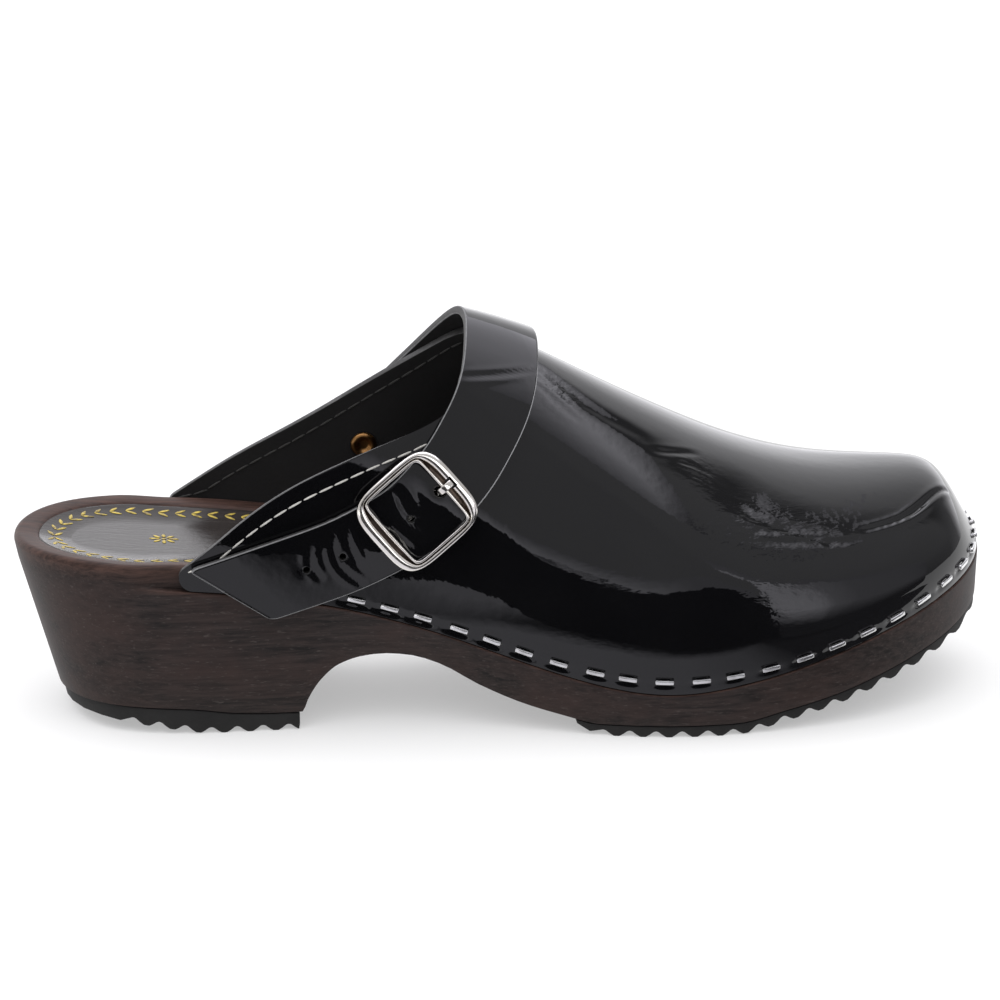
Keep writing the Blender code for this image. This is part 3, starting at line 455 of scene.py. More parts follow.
def rear_cut(station, radius):
    """How much a round corner takes off the upper's rear end."""
    left = radius - min(station - UPPER_STARTS, radius)
    return radius - math.sqrt(max(radius**2 - left**2, 0.0))


def bottom_girth(u):
    """Girth of the upper's lower edge, 0 but for the round corner at its rear end."""
    rise = max(UPPER["crest"](u) - leather_foot(u), REAR_ROUND_LOW)
    return girth_of(rear_cut(station_at(u), REAR_ROUND_LOW) / rise)


def strap_path():
    """For each column a function of the distance along the strap, and the distance of each row."""
    points = [upper_point(turn(row[0]), row[1]) for row in STRAP_ROWS]
    distances = [0.0]
    for before, after in zip(points, points[1:]):
        distances.append(distances[-1] + (after - before).length)
    path = {
        name: spline([(distance, row[i]) for distance, row in zip(distances, STRAP_ROWS)])
        for i, name in enumerate(STRAP_COLUMNS)
    }
    return path, distances


STRAP, STRAP_DISTANCES = strap_path()
STRAP_END = STRAP_DISTANCES[TAIL_END_ROW]
PRONG_HOLE = STRAP_DISTANCES[PRONG_ROW]
RIVET_AT = STRAP_DISTANCES[RIVET_ROW]
PIVOT = PRONG_HOLE - PRONG_FROM_BAR
BUCKLE_MIDDLE = PIVOT + BUCKLE_INNER[0] + PIVOT_BAR / 2


def under_strap(distance):
    """Turn and girth of the upper below the strap's middle line."""
    return turn(STRAP["station"](distance)), STRAP["girth"](distance)


@lru_cache(maxsize=None)
def strap_middle(distance):
    """A point of the strap's back, on its middle line."""
    spot = under_strap(distance)
    return upper_point(*spot) + upper_normal(*spot) * STRAP["lift"](distance)


@lru_cache(maxsize=None)
def strap_axes(distance):
    """Directions along the strap, across it to its rear edge, and out of its face."""
    small = 0.2
    along = (strap_middle(distance + small) - strap_middle(distance - small)).normalized()
    across = along.cross(upper_normal(*under_strap(distance))).normalized()
    out = across.cross(along)
    tip = math.radians(STRAP["tip_deg"](distance))
    return along, across * math.cos(tip) - out * math.sin(tip), out * math.cos(tip) + across * math.sin(tip)


def strap_point(distance, sideways, height):
    """A point in millimetres, with height measured from the strap's outer face."""
    _, across, out = strap_axes(distance)
    return strap_middle(distance) + across * sideways + out * (height + STRAP_THICKNESS)


def strap_matrix(distance, height):
    """Axes at the strap's middle in metres: x along, y to the front edge, z out."""
    along, across, out = strap_axes(distance)
    return axes_at(place(*strap_point(distance, 0.0, height)), along, -across, out)


def strap_half_width(distance):
    """The medial end is round and the tail's corners are eased."""
    from_end = min(distance, STRAP_END_ROUND)
    rounded = math.sqrt(STRAP_END_ROUND**2 - (STRAP_END_ROUND - from_end) ** 2) / STRAP_END_ROUND
    left = min(max(STRAP_END - distance, 0.0), TAIL_CORNER)
    eased = TAIL_CORNER - math.sqrt(TAIL_CORNER**2 - (TAIL_CORNER - left) ** 2)
    return STRAP_WIDTH / 2 * max(rounded, STRAP_END_HALF) - eased / 2


def buckle_matrix():
    """Axes of the flat frame in metres, from its middle: x along the strap, y to its front edge, z out."""
    raised = strap_matrix(BUCKLE_MIDDLE, BUCKLE_CLEAR + BUCKLE_THICKNESS / 2)
    return raised @ Matrix.Translation((0.0, -BUCKLE_REARWARD * MM, 0.0))


def in_frame(distance, height):
    """A point over the strap's middle line, in millimetres along the buckle frame's axes."""
    return buckle_matrix().inverted() @ place(*strap_point(distance, 0.0, height)) / MM


def frame_edge(angle, half_along, half_across, squareness):
    """The point of a rounded rectangle that lies in one direction from its middle."""
    direction = Vector((math.cos(angle), math.sin(angle)))
    reach = abs(direction.x / half_along) ** squareness + abs(direction.y / half_across) ** squareness
    return direction * reach ** (-1 / squareness)


def staple_line():
    """(turn, girth) pairs at the staples' height, from the lateral side round the toe to the medial side."""

    def share(u):
        return STAPLE_HEIGHT(station_at(u)) / max(UPPER["crest"](u) - leather_foot(u), GAP)

    toe_turns = np.linspace(turn(STAPLE_TOE_FROM), 1.0, STAPLE_TOE_SAMPLES)
    toe = next(u for u in toe_turns if share(u) > STAPLE_TOE_SHARE)
    shares = np.linspace(0.0, 1.0, LINE_SAMPLES)
    lateral = [(toe - (toe - turn(STAPLE_FIRST)) * (1 - t) ** 2, LATERAL) for t in shares]
    medial = [(toe - (toe - turn(STAPLE_LAST)) * t**2, MEDIAL) for t in shares]
    return [(u, over(girth_of(share(u)), side)) for u, side in lateral + medial]


def staple_matrices():
    """One matrix in metres for each staple's crown: x along its line, y across, z out of the leather."""
    line = staple_line()
    points = [upper_point(*spot) for spot in line]
    found = []
    for i, along in paced(points, STAPLE_PITCH, STAPLE_PITCH):
        across = upper_normal(*line[i]).cross(along).normalized()
        out = along.cross(across)
        found.append(axes_at(place(*(points[i] + out * (GAP + STAPLE_CROWN[2] / 2))), along, across, out))
    return found


STAPLES = staple_matrices()


class Nodes:
    """Adds shader nodes to a tree. A value is a number, a colour or the socket of another node."""

    def __init__(self, tree):
        self.tree = tree

    def feed(self, socket, value):
        if isinstance(value, bpy.types.NodeSocket):
            self.tree.links.new(value, socket)
        elif socket.type == "RGBA" and len(value) == 3:
            socket.default_value = (*value, 1.0)
        else:
            socket.default_value = value

    def add(self, kind, values=None, **settings):
        """A node with its own settings, and values on its inputs."""
        made = self.tree.nodes.new(kind)
        for name, value in settings.items():
            setattr(made, name, value)
        for name, value in (values or {}).items():
            self.feed(made.inputs[name], value)
        return made

    def maths(self, operation, first, second=0.0):
        return self.add("ShaderNodeMath", {0: first, 1: second}, operation=operation).outputs[0]

    def mixed(self, share, first, second):
        """A blend of two colours."""
        return self.add("ShaderNodeMix", {"Factor": share, 6: first, 7: second}, data_type="RGBA").outputs[2]

    def ranged(self, value, low, high, to_low=0.0, to_high=1.0):
        values = {"Value": value, "From Min": low, "From Max": high, "To Min": to_low, "To Max": to_high}
        return self.add("ShaderNodeMapRange", values).outputs["Result"]

    def lookup(self, value, stops, low, high):
        """A value read off a short table of (position, value) stops; positions run from low to high."""
        peak = max(level for _, level in stops)
        made = self.add("ShaderNodeValToRGB", {"Fac": self.ranged(value, low, high)})
        elements = made.color_ramp.elements
        while len(elements) < len(stops):
            elements.new(0.5)
        for element, (position, level) in zip(elements, stops):
            element.position = (position - low) / (high - low)
            element.color = (level / peak, level / peak, level / peak, 1.0)
        return self.maths("MULTIPLY", made.outputs["Color"], peak)


class Finish(Nodes):
    """A material with its constants on the shader's own sockets, and patterns on Object coordinates."""

    def __init__(self, name, colour, roughness, metallic=0.0, **sockets):
        self.material = bpy.data.materials.new(name)
        self.material.use_nodes = True
        super().__init__(self.material.node_tree)
        self.shader = self.tree.nodes["Principled BSDF"]
        self.set(Base_Color=colour, Roughness=roughness, Metallic=metallic, **sockets)
        self.coords = self.add("ShaderNodeTexCoord").outputs["Object"]

    def set(self, **sockets):
        """Puts values on the shader's inputs."""
        for name, value in sockets.items():
            self.feed(self.shader.inputs[name.replace("_", " ")], value)

    def noise(self, scale, detail=2.0, roughness=0.5, distortion=0.0, stretch=None):
        vector = self.coords
        if stretch:
            vector = self.add("ShaderNodeMapping", {"Vector": vector, "Scale": stretch}).outputs["Vector"]
        values = {"Vector": vector, "Scale": scale, "Detail": detail}
        values |= {"Roughness": roughness, "Distortion": distortion}
        return self.add("ShaderNodeTexNoise", values).outputs[0]

    def attribute(self, name):
        return self.add("ShaderNodeAttribute", attribute_name=name).outputs["Fac"]

    def bump(self, height, depth, *sockets):
        """Raises the surface by height, a socket from 0 to 1, times depth in millimetres."""
        values = {"Height": height, "Strength": 1.0, "Distance": depth * MM}
        normal = self.add("ShaderNodeBump", values).outputs["Normal"]
        for socket in ("Normal", *sockets):
            self.feed(self.shader.inputs[socket], normal)


def patent_leather():
    """Black lacquered leather: a mirror coat with faint orange peel, and fine wrinkles where it was bent."""
    made = Finish(
        "black_patent",
        (0.0025, 0.0025, 0.003),
        roughness=0.6,
        Specular_IOR_Level=0.0,
        Coat_Weight=1.0,
        Coat_IOR=1.52,
        Coat_Roughness=0.02,
    )
    cloudy = made.noise(45.0, detail=3.0)
    made.set(Base_Color=made.mixed(cloudy, (0.0015, 0.0015, 0.002), (0.004, 0.004, 0.0045)))
    peel = made.noise(330.0, detail=1.5)
    pores = made.noise(1500.0, detail=1.0)
    fine = made.noise(620.0, distortion=0.2, stretch=(0.45, 1.0, 1.1))
    height = made.maths("MULTIPLY", peel, 0.14)
    height = made.maths("ADD", height, made.maths("MULTIPLY", pores, 0.012))
    height = made.maths("ADD", height, made.maths("MULTIPLY", fine, made.attribute("wrinkle")))
    made.bump(height, 0.17, "Coat Normal")
    return made.material


def leather_back():
    """The matt lining inside the shoe."""
    made = Finish("black_lining", (0.009, 0.009, 0.009), roughness=0.85)
    made.set(Base_Color=made.mixed(made.noise(60.0), (0.006, 0.006, 0.006), (0.014, 0.013, 0.013)))
    made.bump(made.noise(900.0, detail=3.0), 0.08)
    return made.material


def fibrous(name, dark, light, painted_edge_highlight):
    """Bare leather fibres, for its cut edges and their eased corners, palest where a painted highlight runs
    along the edge.
    """
    made = Finish(name, light, roughness=0.6)
    fibres = made.noise(1200.0)
    made.set(Base_Color=made.mixed(made.attribute("painted_edge_highlight"), made.mixed(fibres, dark, light), painted_edge_highlight))
    made.bump(fibres, 0.05)
    return made.material


def stained_wood():
    """Very dark stain over lengthwise grain, redder on the handled rim, lacquered inside the seat's line; a
    painted highlight runs along the ledge.
    """
    made = Finish("dark_stained_wood", (0.02, 0.015, 0.013), roughness=0.45, Specular_IOR_Level=0.2)
    grain = made.noise(1.0, detail=4.0, roughness=0.7, distortion=0.4, stretch=(60.0, 760.0, 900.0))
    pores = made.noise(1.0, detail=2.0, roughness=0.6, stretch=(420.0, 1700.0, 1900.0))
    clouds = made.noise(1.0, detail=4.0, roughness=0.6, stretch=(40.0, 75.0, 80.0))
    streaks = made.mixed(made.ranged(grain, 0.34, 0.68), (0.007, 0.0055, 0.0052), (0.034, 0.0245, 0.0225))
    patchy = made.mixed(made.ranged(clouds, 0.4, 0.68, to_high=0.75), streaks, (0.037, 0.0215, 0.0185))
    specked = made.mixed(made.ranged(pores, 0.6, 0.78, to_high=0.5), patchy, (0.085, 0.07, 0.065))
    # Worn rim colour, also laid along the ledge as a painted highlight
    rubbed = made.mixed(made.ranged(grain, 0.3, 0.7), (0.018, 0.0105, 0.0085), (0.078, 0.043, 0.034))
    rimmed = made.mixed(made.attribute("rubbed"), specked, rubbed)
    seat = made.mixed(grain, (0.016, 0.014, 0.0135), (0.05, 0.043, 0.041))
    lacquer = made.attribute("lacquer")
    gloss = made.ranged(lacquer, 0.0, 1.0, 0.45, 0.1)
    made.set(
        Base_Color=made.mixed(lacquer, rimmed, seat),
        Roughness=made.maths("ADD", gloss, made.maths("MULTIPLY", grain, 0.14)),
    )
    made.bump(made.maths("ADD", made.maths("MULTIPLY", grain, 0.6), made.maths("MULTIPLY", pores, 0.4)), 0.08)
    return made.material


def black_rubber():
    """Matt rubber with a little dust."""
    made = Finish("black_rubber", (0.01, 0.01, 0.01), roughness=0.7, Specular_IOR_Level=0.35)
    dust = made.noise(120.0, detail=4.0)
    made.set(Base_Color=made.mixed(dust, (0.006, 0.006, 0.006), (0.019, 0.018, 0.0175)))
    made.bump(made.noise(900.0), 0.06)
    return made.material


def plated(name, colour, worn, roughness, depth):
    """A metal with faint scratches and a little tarnish."""
    made = Finish(name, colour, roughness, metallic=1.0)
    tarnish = made.noise(260.0, detail=3.0)
    scratches = made.noise(1.0, stretch=(200.0, 1500.0, 1500.0))
    made.set(
        Base_Color=made.mixed(made.ranged(tarnish, 0.45, 0.8), colour, worn),
        Roughness=made.ranged(scratches, 0.3, 0.7, roughness, roughness + 0.05),
    )
    made.bump(scratches, depth)
    return made.material


def thread(name, shaded, lit):
    """Twisted thread with a soft sheen."""
    made = Finish(name, lit, roughness=0.8, Sheen_Weight=0.2)
    plies = made.noise(2400.0)
    made.set(Base_Color=made.mixed(plies, shaded, lit))
    made.bump(plies, 0.08)
    return made.material


def worn_paint():
    """Yellow paint, rubbed through in spots."""
    made = Finish("worn_yellow_paint", (0.62, 0.45, 0.06), roughness=0.45)
    rubbed = made.noise(700.0, detail=3.0, roughness=0.7)
    made.set(Base_Color=made.mixed(made.ranged(rubbed, 0.42, 0.66), (0.66, 0.50, 0.08), (0.16, 0.115, 0.05)))
    made.bump(rubbed, 0.03)
    return made.material


def sheet(bm, across, up, place_at):
    """A grid of across x up faces with its corners where place_at(column, row) says; returns the corners."""
    found = {}
    for vert in bmesh.ops.create_grid(bm, x_segments=across, y_segments=up, size=0.5)["verts"]:
        spot = (round((vert.co.x + 0.5) * across), round((vert.co.y + 0.5) * up))
        vert.co = place_at(*spot)
        found[spot] = vert
    return found


def merge(bm, distance=0.002):
    """Joins corners that lie within a distance, and drops what that leaves without area."""
    bmesh.ops.remove_doubles(bm, verts=bm.verts, dist=distance * MM)
    bmesh.ops.dissolve_degenerate(bm, edges=bm.edges, dist=distance * MM)


def round_edges(bm, edges, width, segments, over_deg):
    """Rounds those of some edges where the faces turn by more than an angle."""
    bmesh.ops.bevel(
        bm,
        geom=[found for found in edges if found.calc_face_angle(0.0) > math.radians(over_deg)],
        offset=width * MM,
        segments=segments,
        profile=0.5,
        affect="EDGES",
        material=-1,
        clamp_overlap=True,
    )


def new_mesh(name, bm, finishes=()):
    """A mesh from a bmesh, which is freed."""
    mesh = bpy.data.meshes.new(name)
    bm.to_mesh(mesh)
    bm.free()
    for finish in finishes:
        mesh.materials.append(finish)
    return mesh


def add_object(name, data):
    made = bpy.data.objects.new(name, data)
    bpy.context.scene.collection.objects.link(made)
    return made


def piece(name, bm, finishes, replaced=(), sharp_deg=None):
    """Turns a bmesh into a named piece that rides on the shoe and stands for the nodes that it replaces."""
    mesh = new_mesh(name, bm, finishes)
    mesh.shade_smooth()
    if sharp_deg:
        mesh.set_sharp_from_angle(angle=math.radians(sharp_deg))
    made = add_object(name, mesh)
    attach(made, "root")
    if replaced:
        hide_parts(*replaced)
    return made


def thicken(made, thickness):
    """A wall behind a sheet of leather, with finishes of their own on its back and its cut edge."""
    wall = made.modifiers.new("wall", "SOLIDIFY")
    wall.thickness = thickness * MM
    wall.offset = -1.0
    wall.material_offset = BACK
    wall.material_offset_rim = CUT_EDGE


def ease(made, width, clamped=True):
    """Rounds the sharp edges of a leather piece, which take a paler finish that is a painted highlight."""
    eased = made.modifiers.new("eased", "BEVEL")
    eased.width = width * MM
    eased.segments = LEATHER_CORNER_STEPS
    eased.limit_method = "ANGLE"
    eased.angle_limit = math.radians(LEATHER_SHARP_DEG)
    eased.material = CORNER_HIGHLIGHT
    eased.use_clamp_overlap = clamped


def carve(made, cutter):
    """Cuts the shapes of a bmesh out of a piece; the cut faces take its third finish, or its last."""
    for face in cutter.faces:
        face.material_index = min(CUT_EDGE, len(made.data.materials) - 1)
    tool = add_object("cutter", new_mesh("cutter", cutter, made.data.materials))
    holes = made.modifiers.new("holes", "BOOLEAN")
    holes.operation = "DIFFERENCE"
    holes.object = tool
    evaluated = made.evaluated_get(bpy.context.evaluated_depsgraph_get())
    result = bpy.data.meshes.new_from_object(evaluated)
    made.modifiers.clear()
    made.data = result
    bpy.data.objects.remove(tool)


def corners_of(bm):
    """The corners of a bmesh in millimetres."""
    return np.array([vert.co for vert in bm.verts]) / MM


def move_out(bm, moved, wrinkles):
    """Moves a sheet's corners along their normals, and notes how wrinkled it is at each."""
    wrinkled = bm.verts.layers.float["wrinkle"]
    for vert, distance, wrinkle in zip(bm.verts, moved, wrinkles):
        vert[wrinkled] = wrinkle
        vert.co += vert.normal * distance * MM


def punch(bm, matrix, radius, depth):
    """A round cutter from just above a matrix down."""
    middle = matrix @ Matrix.Translation((0.0, 0.0, (PUNCH_OVERSHOOT - depth / 2) * MM))
    bmesh.ops.create_cone(
        bm,
        cap_ends=True,
        segments=HOLE_SIDES,
        radius1=radius * MM,
        radius2=radius * MM,
        depth=depth * MM,
        matrix=middle,
    )


def pressed(points, creases, point_at):
    """How far out each point moves for creases: spots on a surface, and the trough's width and depth."""
    moved = np.zeros(len(points))
    for spots, width, depth in creases:
        line = along_line(spots, point_at)
        apart = np.linalg.norm(points[:, None] - line[None], axis=2)
        nearest = apart.argmin(axis=1)
        near = apart[np.arange(len(points)), nearest] / width
        fade = np.sqrt(np.sin(math.pi * (nearest + 0.5) / len(line)))
        ridges = CREASE_RIDGE * np.exp(-((near - CREASE_RIDGE_AT) ** 2))
        moved += depth * fade * (ridges - np.exp(-(near**2)))
    return moved


def soft_spot(points, middle, radius):
    """A round spot that fades from 1 at its middle."""
    return np.exp(-((np.linalg.norm(points - np.array(middle), axis=1) / radius) ** 2))


def along_line(points, point_at):
    """Even samples along a smooth line through a few points of a surface, in millimetres."""
    shares = np.linspace(0.0, 1.0, len(points))
    firsts, seconds = (spline(list(zip(shares, values))) for values in zip(*points))
    return np.array([point_at(firsts(t), seconds(t)) for t in np.linspace(0.0, 1.0, CREASE_SAMPLES)])


def on_upper(station, girth):
    return place(*upper_point(turn(station), girth)) / MM


def blobs(points, rows):
    """A sum of soft round spots (station, girth, radius, strength) at each point."""
    total = np.zeros(len(points))
    for station, girth, radius, strength in rows:
        total += strength * soft_spot(points, on_upper(station, girth), radius)
    return total


def staple_dents(points):
    """How far each point sinks where the staples press."""
    total = np.zeros(len(points))
    for matrix in STAPLES:
        local = (points - np.array(matrix.translation) / MM) @ np.array(matrix.to_3x3())
        spread = (local[:, 0] / DENT_LONG) ** 4 + ((local[:, 1] - DENT_SHIFT) / DENT_WIDE) ** 2
        total -= DENT_DEPTH * np.exp(-spread) * (np.abs(local[:, 2]) < 2 * DENT_LONG)
    return total


def make_upper(finishes):
    """The leather as one sheet with its creases, thickened inwards."""
    turns = [turn(UPPER_STARTS + REAR_ROUND_LOW * (i / REAR_STEPS) ** 2) for i in range(REAR_STEPS)]
    start, throat = turn(UPPER_STARTS + REAR_ROUND_LOW), turn(THROAT)
    shares = [1 - (1 - i / QUARTER_STEPS) ** QUARTER_CROWDING for i in range(QUARTER_STEPS)]
    turns += [start + (throat - start) * share for share in shares]
    turns += [throat + (1.0 - throat) * i / VAMP_STEPS for i in range(VAMP_STEPS + 1)]

    def wall_at(u, side, share):
        bottom = bottom_girth(u)
        girth = bottom + (collar_girth(u, side) - bottom) * share**GIRTH_CROWDING
        return place(*upper_point(u, over(girth, side)))

    def lateral_at(i, j):
        return wall_at(turns[i], LATERAL, j / LATERAL_STEPS)

    def medial_at(i, j):
        return wall_at(turns[i], MEDIAL, 1 - j / MEDIAL_STEPS)

    bm = bmesh.new()
    bm.verts.layers.float.new("wrinkle")
    tip = []
    for place_at, steps in ((lateral_at, LATERAL_STEPS), (medial_at, MEDIAL_STEPS)):
        corners = sheet(bm, len(turns) - 1, steps, place_at)
        tip += [vert for (i, _), vert in corners.items() if i == len(turns) - 1]
    bmesh.ops.pointmerge(bm, verts=tip, merge_co=tip[0].co)
    merge(bm)
    bm.normal_update()
    points = corners_of(bm)
    moved = pressed(points, CREASES, on_upper) + blobs(points, SWELLS) + staple_dents(points)
    move_out(bm, moved, blobs(points, WRINKLED))
    made = piece("leather_upper", bm, finishes, ("upper",))
    thicken(made, LEATHER)
    cutter = bmesh.new()
    through = STRAP_THICKNESS + STRAP["lift"](RIVET_AT) + LEATHER + 2 * RIVET_HEAD + PUNCH_OVERSHOOT
    punch(cutter, strap_matrix(RIVET_AT, 0.0), RIVET_SHANK + GAP, through)
    carve(made, cutter)
    ease(made, UPPER_CORNER)


def make_strap(finishes):
    """The strap as a sheet with its creases, thickened inwards, eased, and punched with its holes."""
    ends = [STRAP_END_ROUND * (i / STRAP_END_STEPS) ** STRAP_END_CROWDING for i in range(STRAP_END_STEPS)]
    even = np.linspace(STRAP_END_ROUND, STRAP_END - TAIL_CORNER, STRAP_STEPS)
    left = [(1 - i / STRAP_TAIL_STEPS) ** STRAP_END_CROWDING for i in range(1, STRAP_TAIL_STEPS + 1)]
    tail = [STRAP_END - TAIL_CORNER * share for share in left]
    distances = [float(distance) for distance in (*ends, *even, *tail)]

    def crowned(distance, sideways):
        slant = TAIL_SLANT * ramp(distance, STRAP_END - TAIL_SLANT_LENGTH, STRAP_END)
        crown = STRAP_CROWN * (1 - (2 * sideways / STRAP_WIDTH) ** 2)
        return place(*strap_point(distance + slant * sideways, sideways, crown))

    def on_strap(ahead, sideways):
        return crowned(PRONG_HOLE + ahead, sideways) / MM

    def place_at(i, j):
        return crowned(distances[i], strap_half_width(distances[i]) * (1 - 2 * j / STRAP_ACROSS))

    bm = bmesh.new()
    bm.verts.layers.float.new("wrinkle")
    painted_edge_highlight = bm.verts.layers.float.new("painted_edge_highlight")
    # The pale band towards the strap's front edge is a painted highlight
    for (i, j), vert in sheet(bm, len(distances) - 1, STRAP_ACROSS, place_at).items():
        ahead = distances[i] - PRONG_HOLE
        vert[painted_edge_highlight] = ramp(ahead, *EDGE_HIGHLIGHT_FROM) * (1 - ramp(ahead, *EDGE_HIGHLIGHT_TO)) * j / STRAP_ACROSS
    bm.normal_update()
    points = corners_of(bm)
    moved = pressed(points, STRAP_CREASES, on_strap)
    holes = [strap_matrix(PRONG_HOLE + k * HOLE_PITCH, 0.0) for k in range(HOLE_COUNT)]
    for hole in holes:
        moved -= STRAP_HOLE_DENT * soft_spot(points, np.array(hole.translation) / MM, STRAP_HOLE_DENT_RADIUS)
    move_out(bm, moved, np.minimum(np.abs(moved) * STRAP_WRINKLE_GAIN, STRAP_WRINKLE_MOST))
    made = piece("strap_leather", bm, finishes, ("instep_strap",))
    thicken(made, STRAP_THICKNESS)
    ease(made, STRAP_CORNER, clamped=False)
    cutter = bmesh.new()
    through = STRAP_THICKNESS + 2 * PUNCH_OVERSHOOT
    for k, hole in enumerate(holes):
        punch(cutter, hole, HOLE_RADIUS if k else PRONG_HOLE_RADIUS, through)
    punch(cutter, strap_matrix(RIVET_AT, 0.0), RIVET_SHANK + GAP, through)
    carve(made, cutter)


def rabbet(u):
    return ramp(station_at(u), RABBET_STARTS, RABBET_FULL)


def sole_point(u, side, inset, height):
    station, sideways = edge(u, side, inset)
    return place(lean(station, height), sideways, height)


def footbed_point(u, side, inset):
    """A point of the footbed, inset inside the wood's rim."""
    drop = float(np.interp(inset, *zip(*FOOTBED_ROWS)))
    drop += SEAT_LINE_DEPTH * math.exp(-(((inset - SEAT_LINE) / SEAT_LINE_WIDTH) ** 2))
    from_edge = RABBET_DEPTH * rabbet(u) + SOLE["rim_back"](u) + inset
    return sole_point(u, side, from_edge, SOLE["rim"](u) - drop)


def seat_middle(u):
    """The middle of the heel seat at a turn."""
    lateral, medial = (footbed_point(u, side, FOOTBED_INSETS[-1]) for side in (LATERAL, MEDIAL))
    return (lateral + medial) / 2


def bottom_point(u, side):
    inset = SOLE["tuck"](u)
    station = edge(u, side, inset)[0]
    return sole_point(u, side, inset, WOOD_BOTTOM(lean(station, WOOD_BOTTOM(station))))


def sole_rows():
    """Names of the sole's rings and a function (turn, side) for each, from the underside to the footbed."""

    def spine(point_at, share):
        return lambda u, side: point_at(u, side).lerp((point_at(u, LATERAL) + point_at(u, MEDIAL)) / 2, share)

    def wall(share):
        return lambda u, side: bottom_point(u, side).lerp(sole_point(u, side, 0.0, SOLE["ledge"](u)), share)

    def inner_ledge(u, side):
        height = SOLE["ledge"](u) + RUN_OUT_STEP * (1 - rabbet(u))
        return sole_point(u, side, RABBET_DEPTH * rabbet(u), height)

    def footbed(inset):
        return lambda u, side: footbed_point(u, side, inset)

    def zone(inset):
        if inset > SEAT_LINE:
            return "seat"
        return "rim" if inset <= FOOTBED_ROWS[1][0] else "border"

    rows = [("underside", spine(bottom_point, 1 - k / SPINE_ROWS)) for k in range(SPINE_ROWS)]
    rows.append(("bottom", bottom_point))
    rows += [("wall", wall(k / WALL_ROWS)) for k in range(1, WALL_ROWS)]
    rows += [("wall", wall(LEDGE_LINE)), ("ledge", wall(1.0)), ("inner_ledge", inner_ledge)]
    rows += [(zone(inset), footbed(inset)) for inset in FOOTBED_INSETS]
    last = footbed(FOOTBED_INSETS[-1])
    rows += [("seat", spine(last, k / SPINE_ROWS)) for k in range(1, SPINE_ROWS + 1)]
    return rows


def make_wooden_sole(finish):
    """The carved sole: rings from the middle of the underside over wall and rim to the middle of the seat."""
    even = [i / SOLE_STEPS for i in range(SOLE_STEPS + 1)]
    breast = [turn(station) for station in np.arange(BREAST_FROM, BREAST_TO, BREAST_STEP)]
    turns = sorted([u for u in even if not breast[0] <= u <= breast[-1]] + breast)
    around = [(u, LATERAL) for u in turns] + [(u, MEDIAL) for u in reversed(turns[:-1])]
    rows = sole_rows()
    bm = bmesh.new()
    ring = bm.verts.layers.int.new("ring")
    lacquer = bm.verts.layers.float.new("lacquer")
    rubbed = bm.verts.layers.float.new("rubbed")
    corners = sheet(bm, len(around) - 1, len(rows) - 1, lambda i, j: rows[j][1](*around[i]))
    for (i, j), vert in corners.items():
        name = rows[j][0]
        vert[ring] = j
        vert[lacquer] = float(name == "seat")
        # On the ledge this marks a painted highlight along the wood's top edge; on the rim and border it is
        # wear
        vert[rubbed] = rabbet(around[i][0]) if name == "ledge" else float(name in ("rim", "border"))
    merge(bm)
    bmesh.ops.recalc_face_normals(bm, faces=bm.faces)
    for name, width in WOOD_ROUNDING.items():
        numbers = {j for j, row in enumerate(rows) if row[0] == name}
        on_ring = [
            found for found in bm.edges
            if found.verts[0][ring] == found.verts[1][ring] and found.verts[0][ring] in numbers
        ]
        round_edges(bm, on_ring, width, WOOD_CORNER_STEPS, WOOD_SHARP_DEG)
    bm.verts.layers.int.remove(bm.verts.layers.int["ring"])
    piece("carved_sole", bm, (finish,), ("wooden_sole",), WOOD_SMOOTH_DEG)


def make_tread(name, node, finish):
    """A rubber tread with its teeth eased, from the solid's own shape."""
    bm = bmesh.new()
    bm.from_mesh(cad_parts[node].data)
    bmesh.ops.transform(bm, matrix=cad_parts[node].matrix_world, verts=bm.verts)
    merge(bm)
    bmesh.ops.dissolve_limit(bm, angle_limit=math.radians(TREAD_FLAT_DEG), verts=bm.verts, edges=bm.edges)
    round_edges(bm, bm.edges, TREAD_ROUNDING, TREAD_CORNER_STEPS, TREAD_SHARP_DEG)
    piece(name, bm, (finish,), (node,), TREAD_SMOOTH_DEG)


def staple_shape():
    """One staple along x: a bowed wire crown whose ends turn down into the leather."""
    long, _, thick = STAPLE_CROWN
    bm = bmesh.new()
    bmesh.ops.create_cube(bm, size=1.0)
    bmesh.ops.scale(bm, vec=Vector(STAPLE_CROWN) * MM, verts=bm.verts)
    lengthwise = [found for found in bm.edges if found.calc_length() > (long + thick) / 2 * MM]
    bmesh.ops.subdivide_edges(bm, edges=lengthwise, cuts=STAPLE_CUTS, use_grid_fill=True)
    bm.normal_update()
    under = [face for face in bm.faces if face.normal.z < -0.9]
    ends = [face for face in under if abs(face.calc_center_median().x) > long * MM / 3]
    legs = bmesh.ops.extrude_face_region(bm, geom=ends)["geom"]
    bmesh.ops.delete(bm, geom=ends, context="FACES_ONLY")
    low = [item for item in legs if isinstance(item, bmesh.types.BMVert)]
    bmesh.ops.translate(bm, vec=(0.0, 0.0, -STAPLE_LEG * MM), verts=low)
    for vert in bm.verts:
        vert.co.z -= STAPLE_BOW * MM * (2 * vert.co.x / (long * MM)) ** 4
    bmesh.ops.recalc_face_normals(bm, faces=bm.faces)
    round_edges(bm, bm.edges, STAPLE_ROUNDING, STAPLE_CORNER_STEPS, STAPLE_SHARP_DEG)
    return new_mesh("staple", bm)


def make_staples(finish):
    """All the staples in one mesh."""
    shape = staple_shape()
    bm = bmesh.new()
    for matrix in STAPLES:
        before = len(bm.verts)
        bm.from_mesh(shape)
        bmesh.ops.transform(bm, matrix=matrix, verts=list(bm.verts)[before:])
    bpy.data.meshes.remove(shape)
    nodes = [f"staple_{number + 1:02d}" for number in range(len(STAPLES))]
    return piece("staple_row", bm, (finish,), nodes, METAL_SMOOTH_DEG)


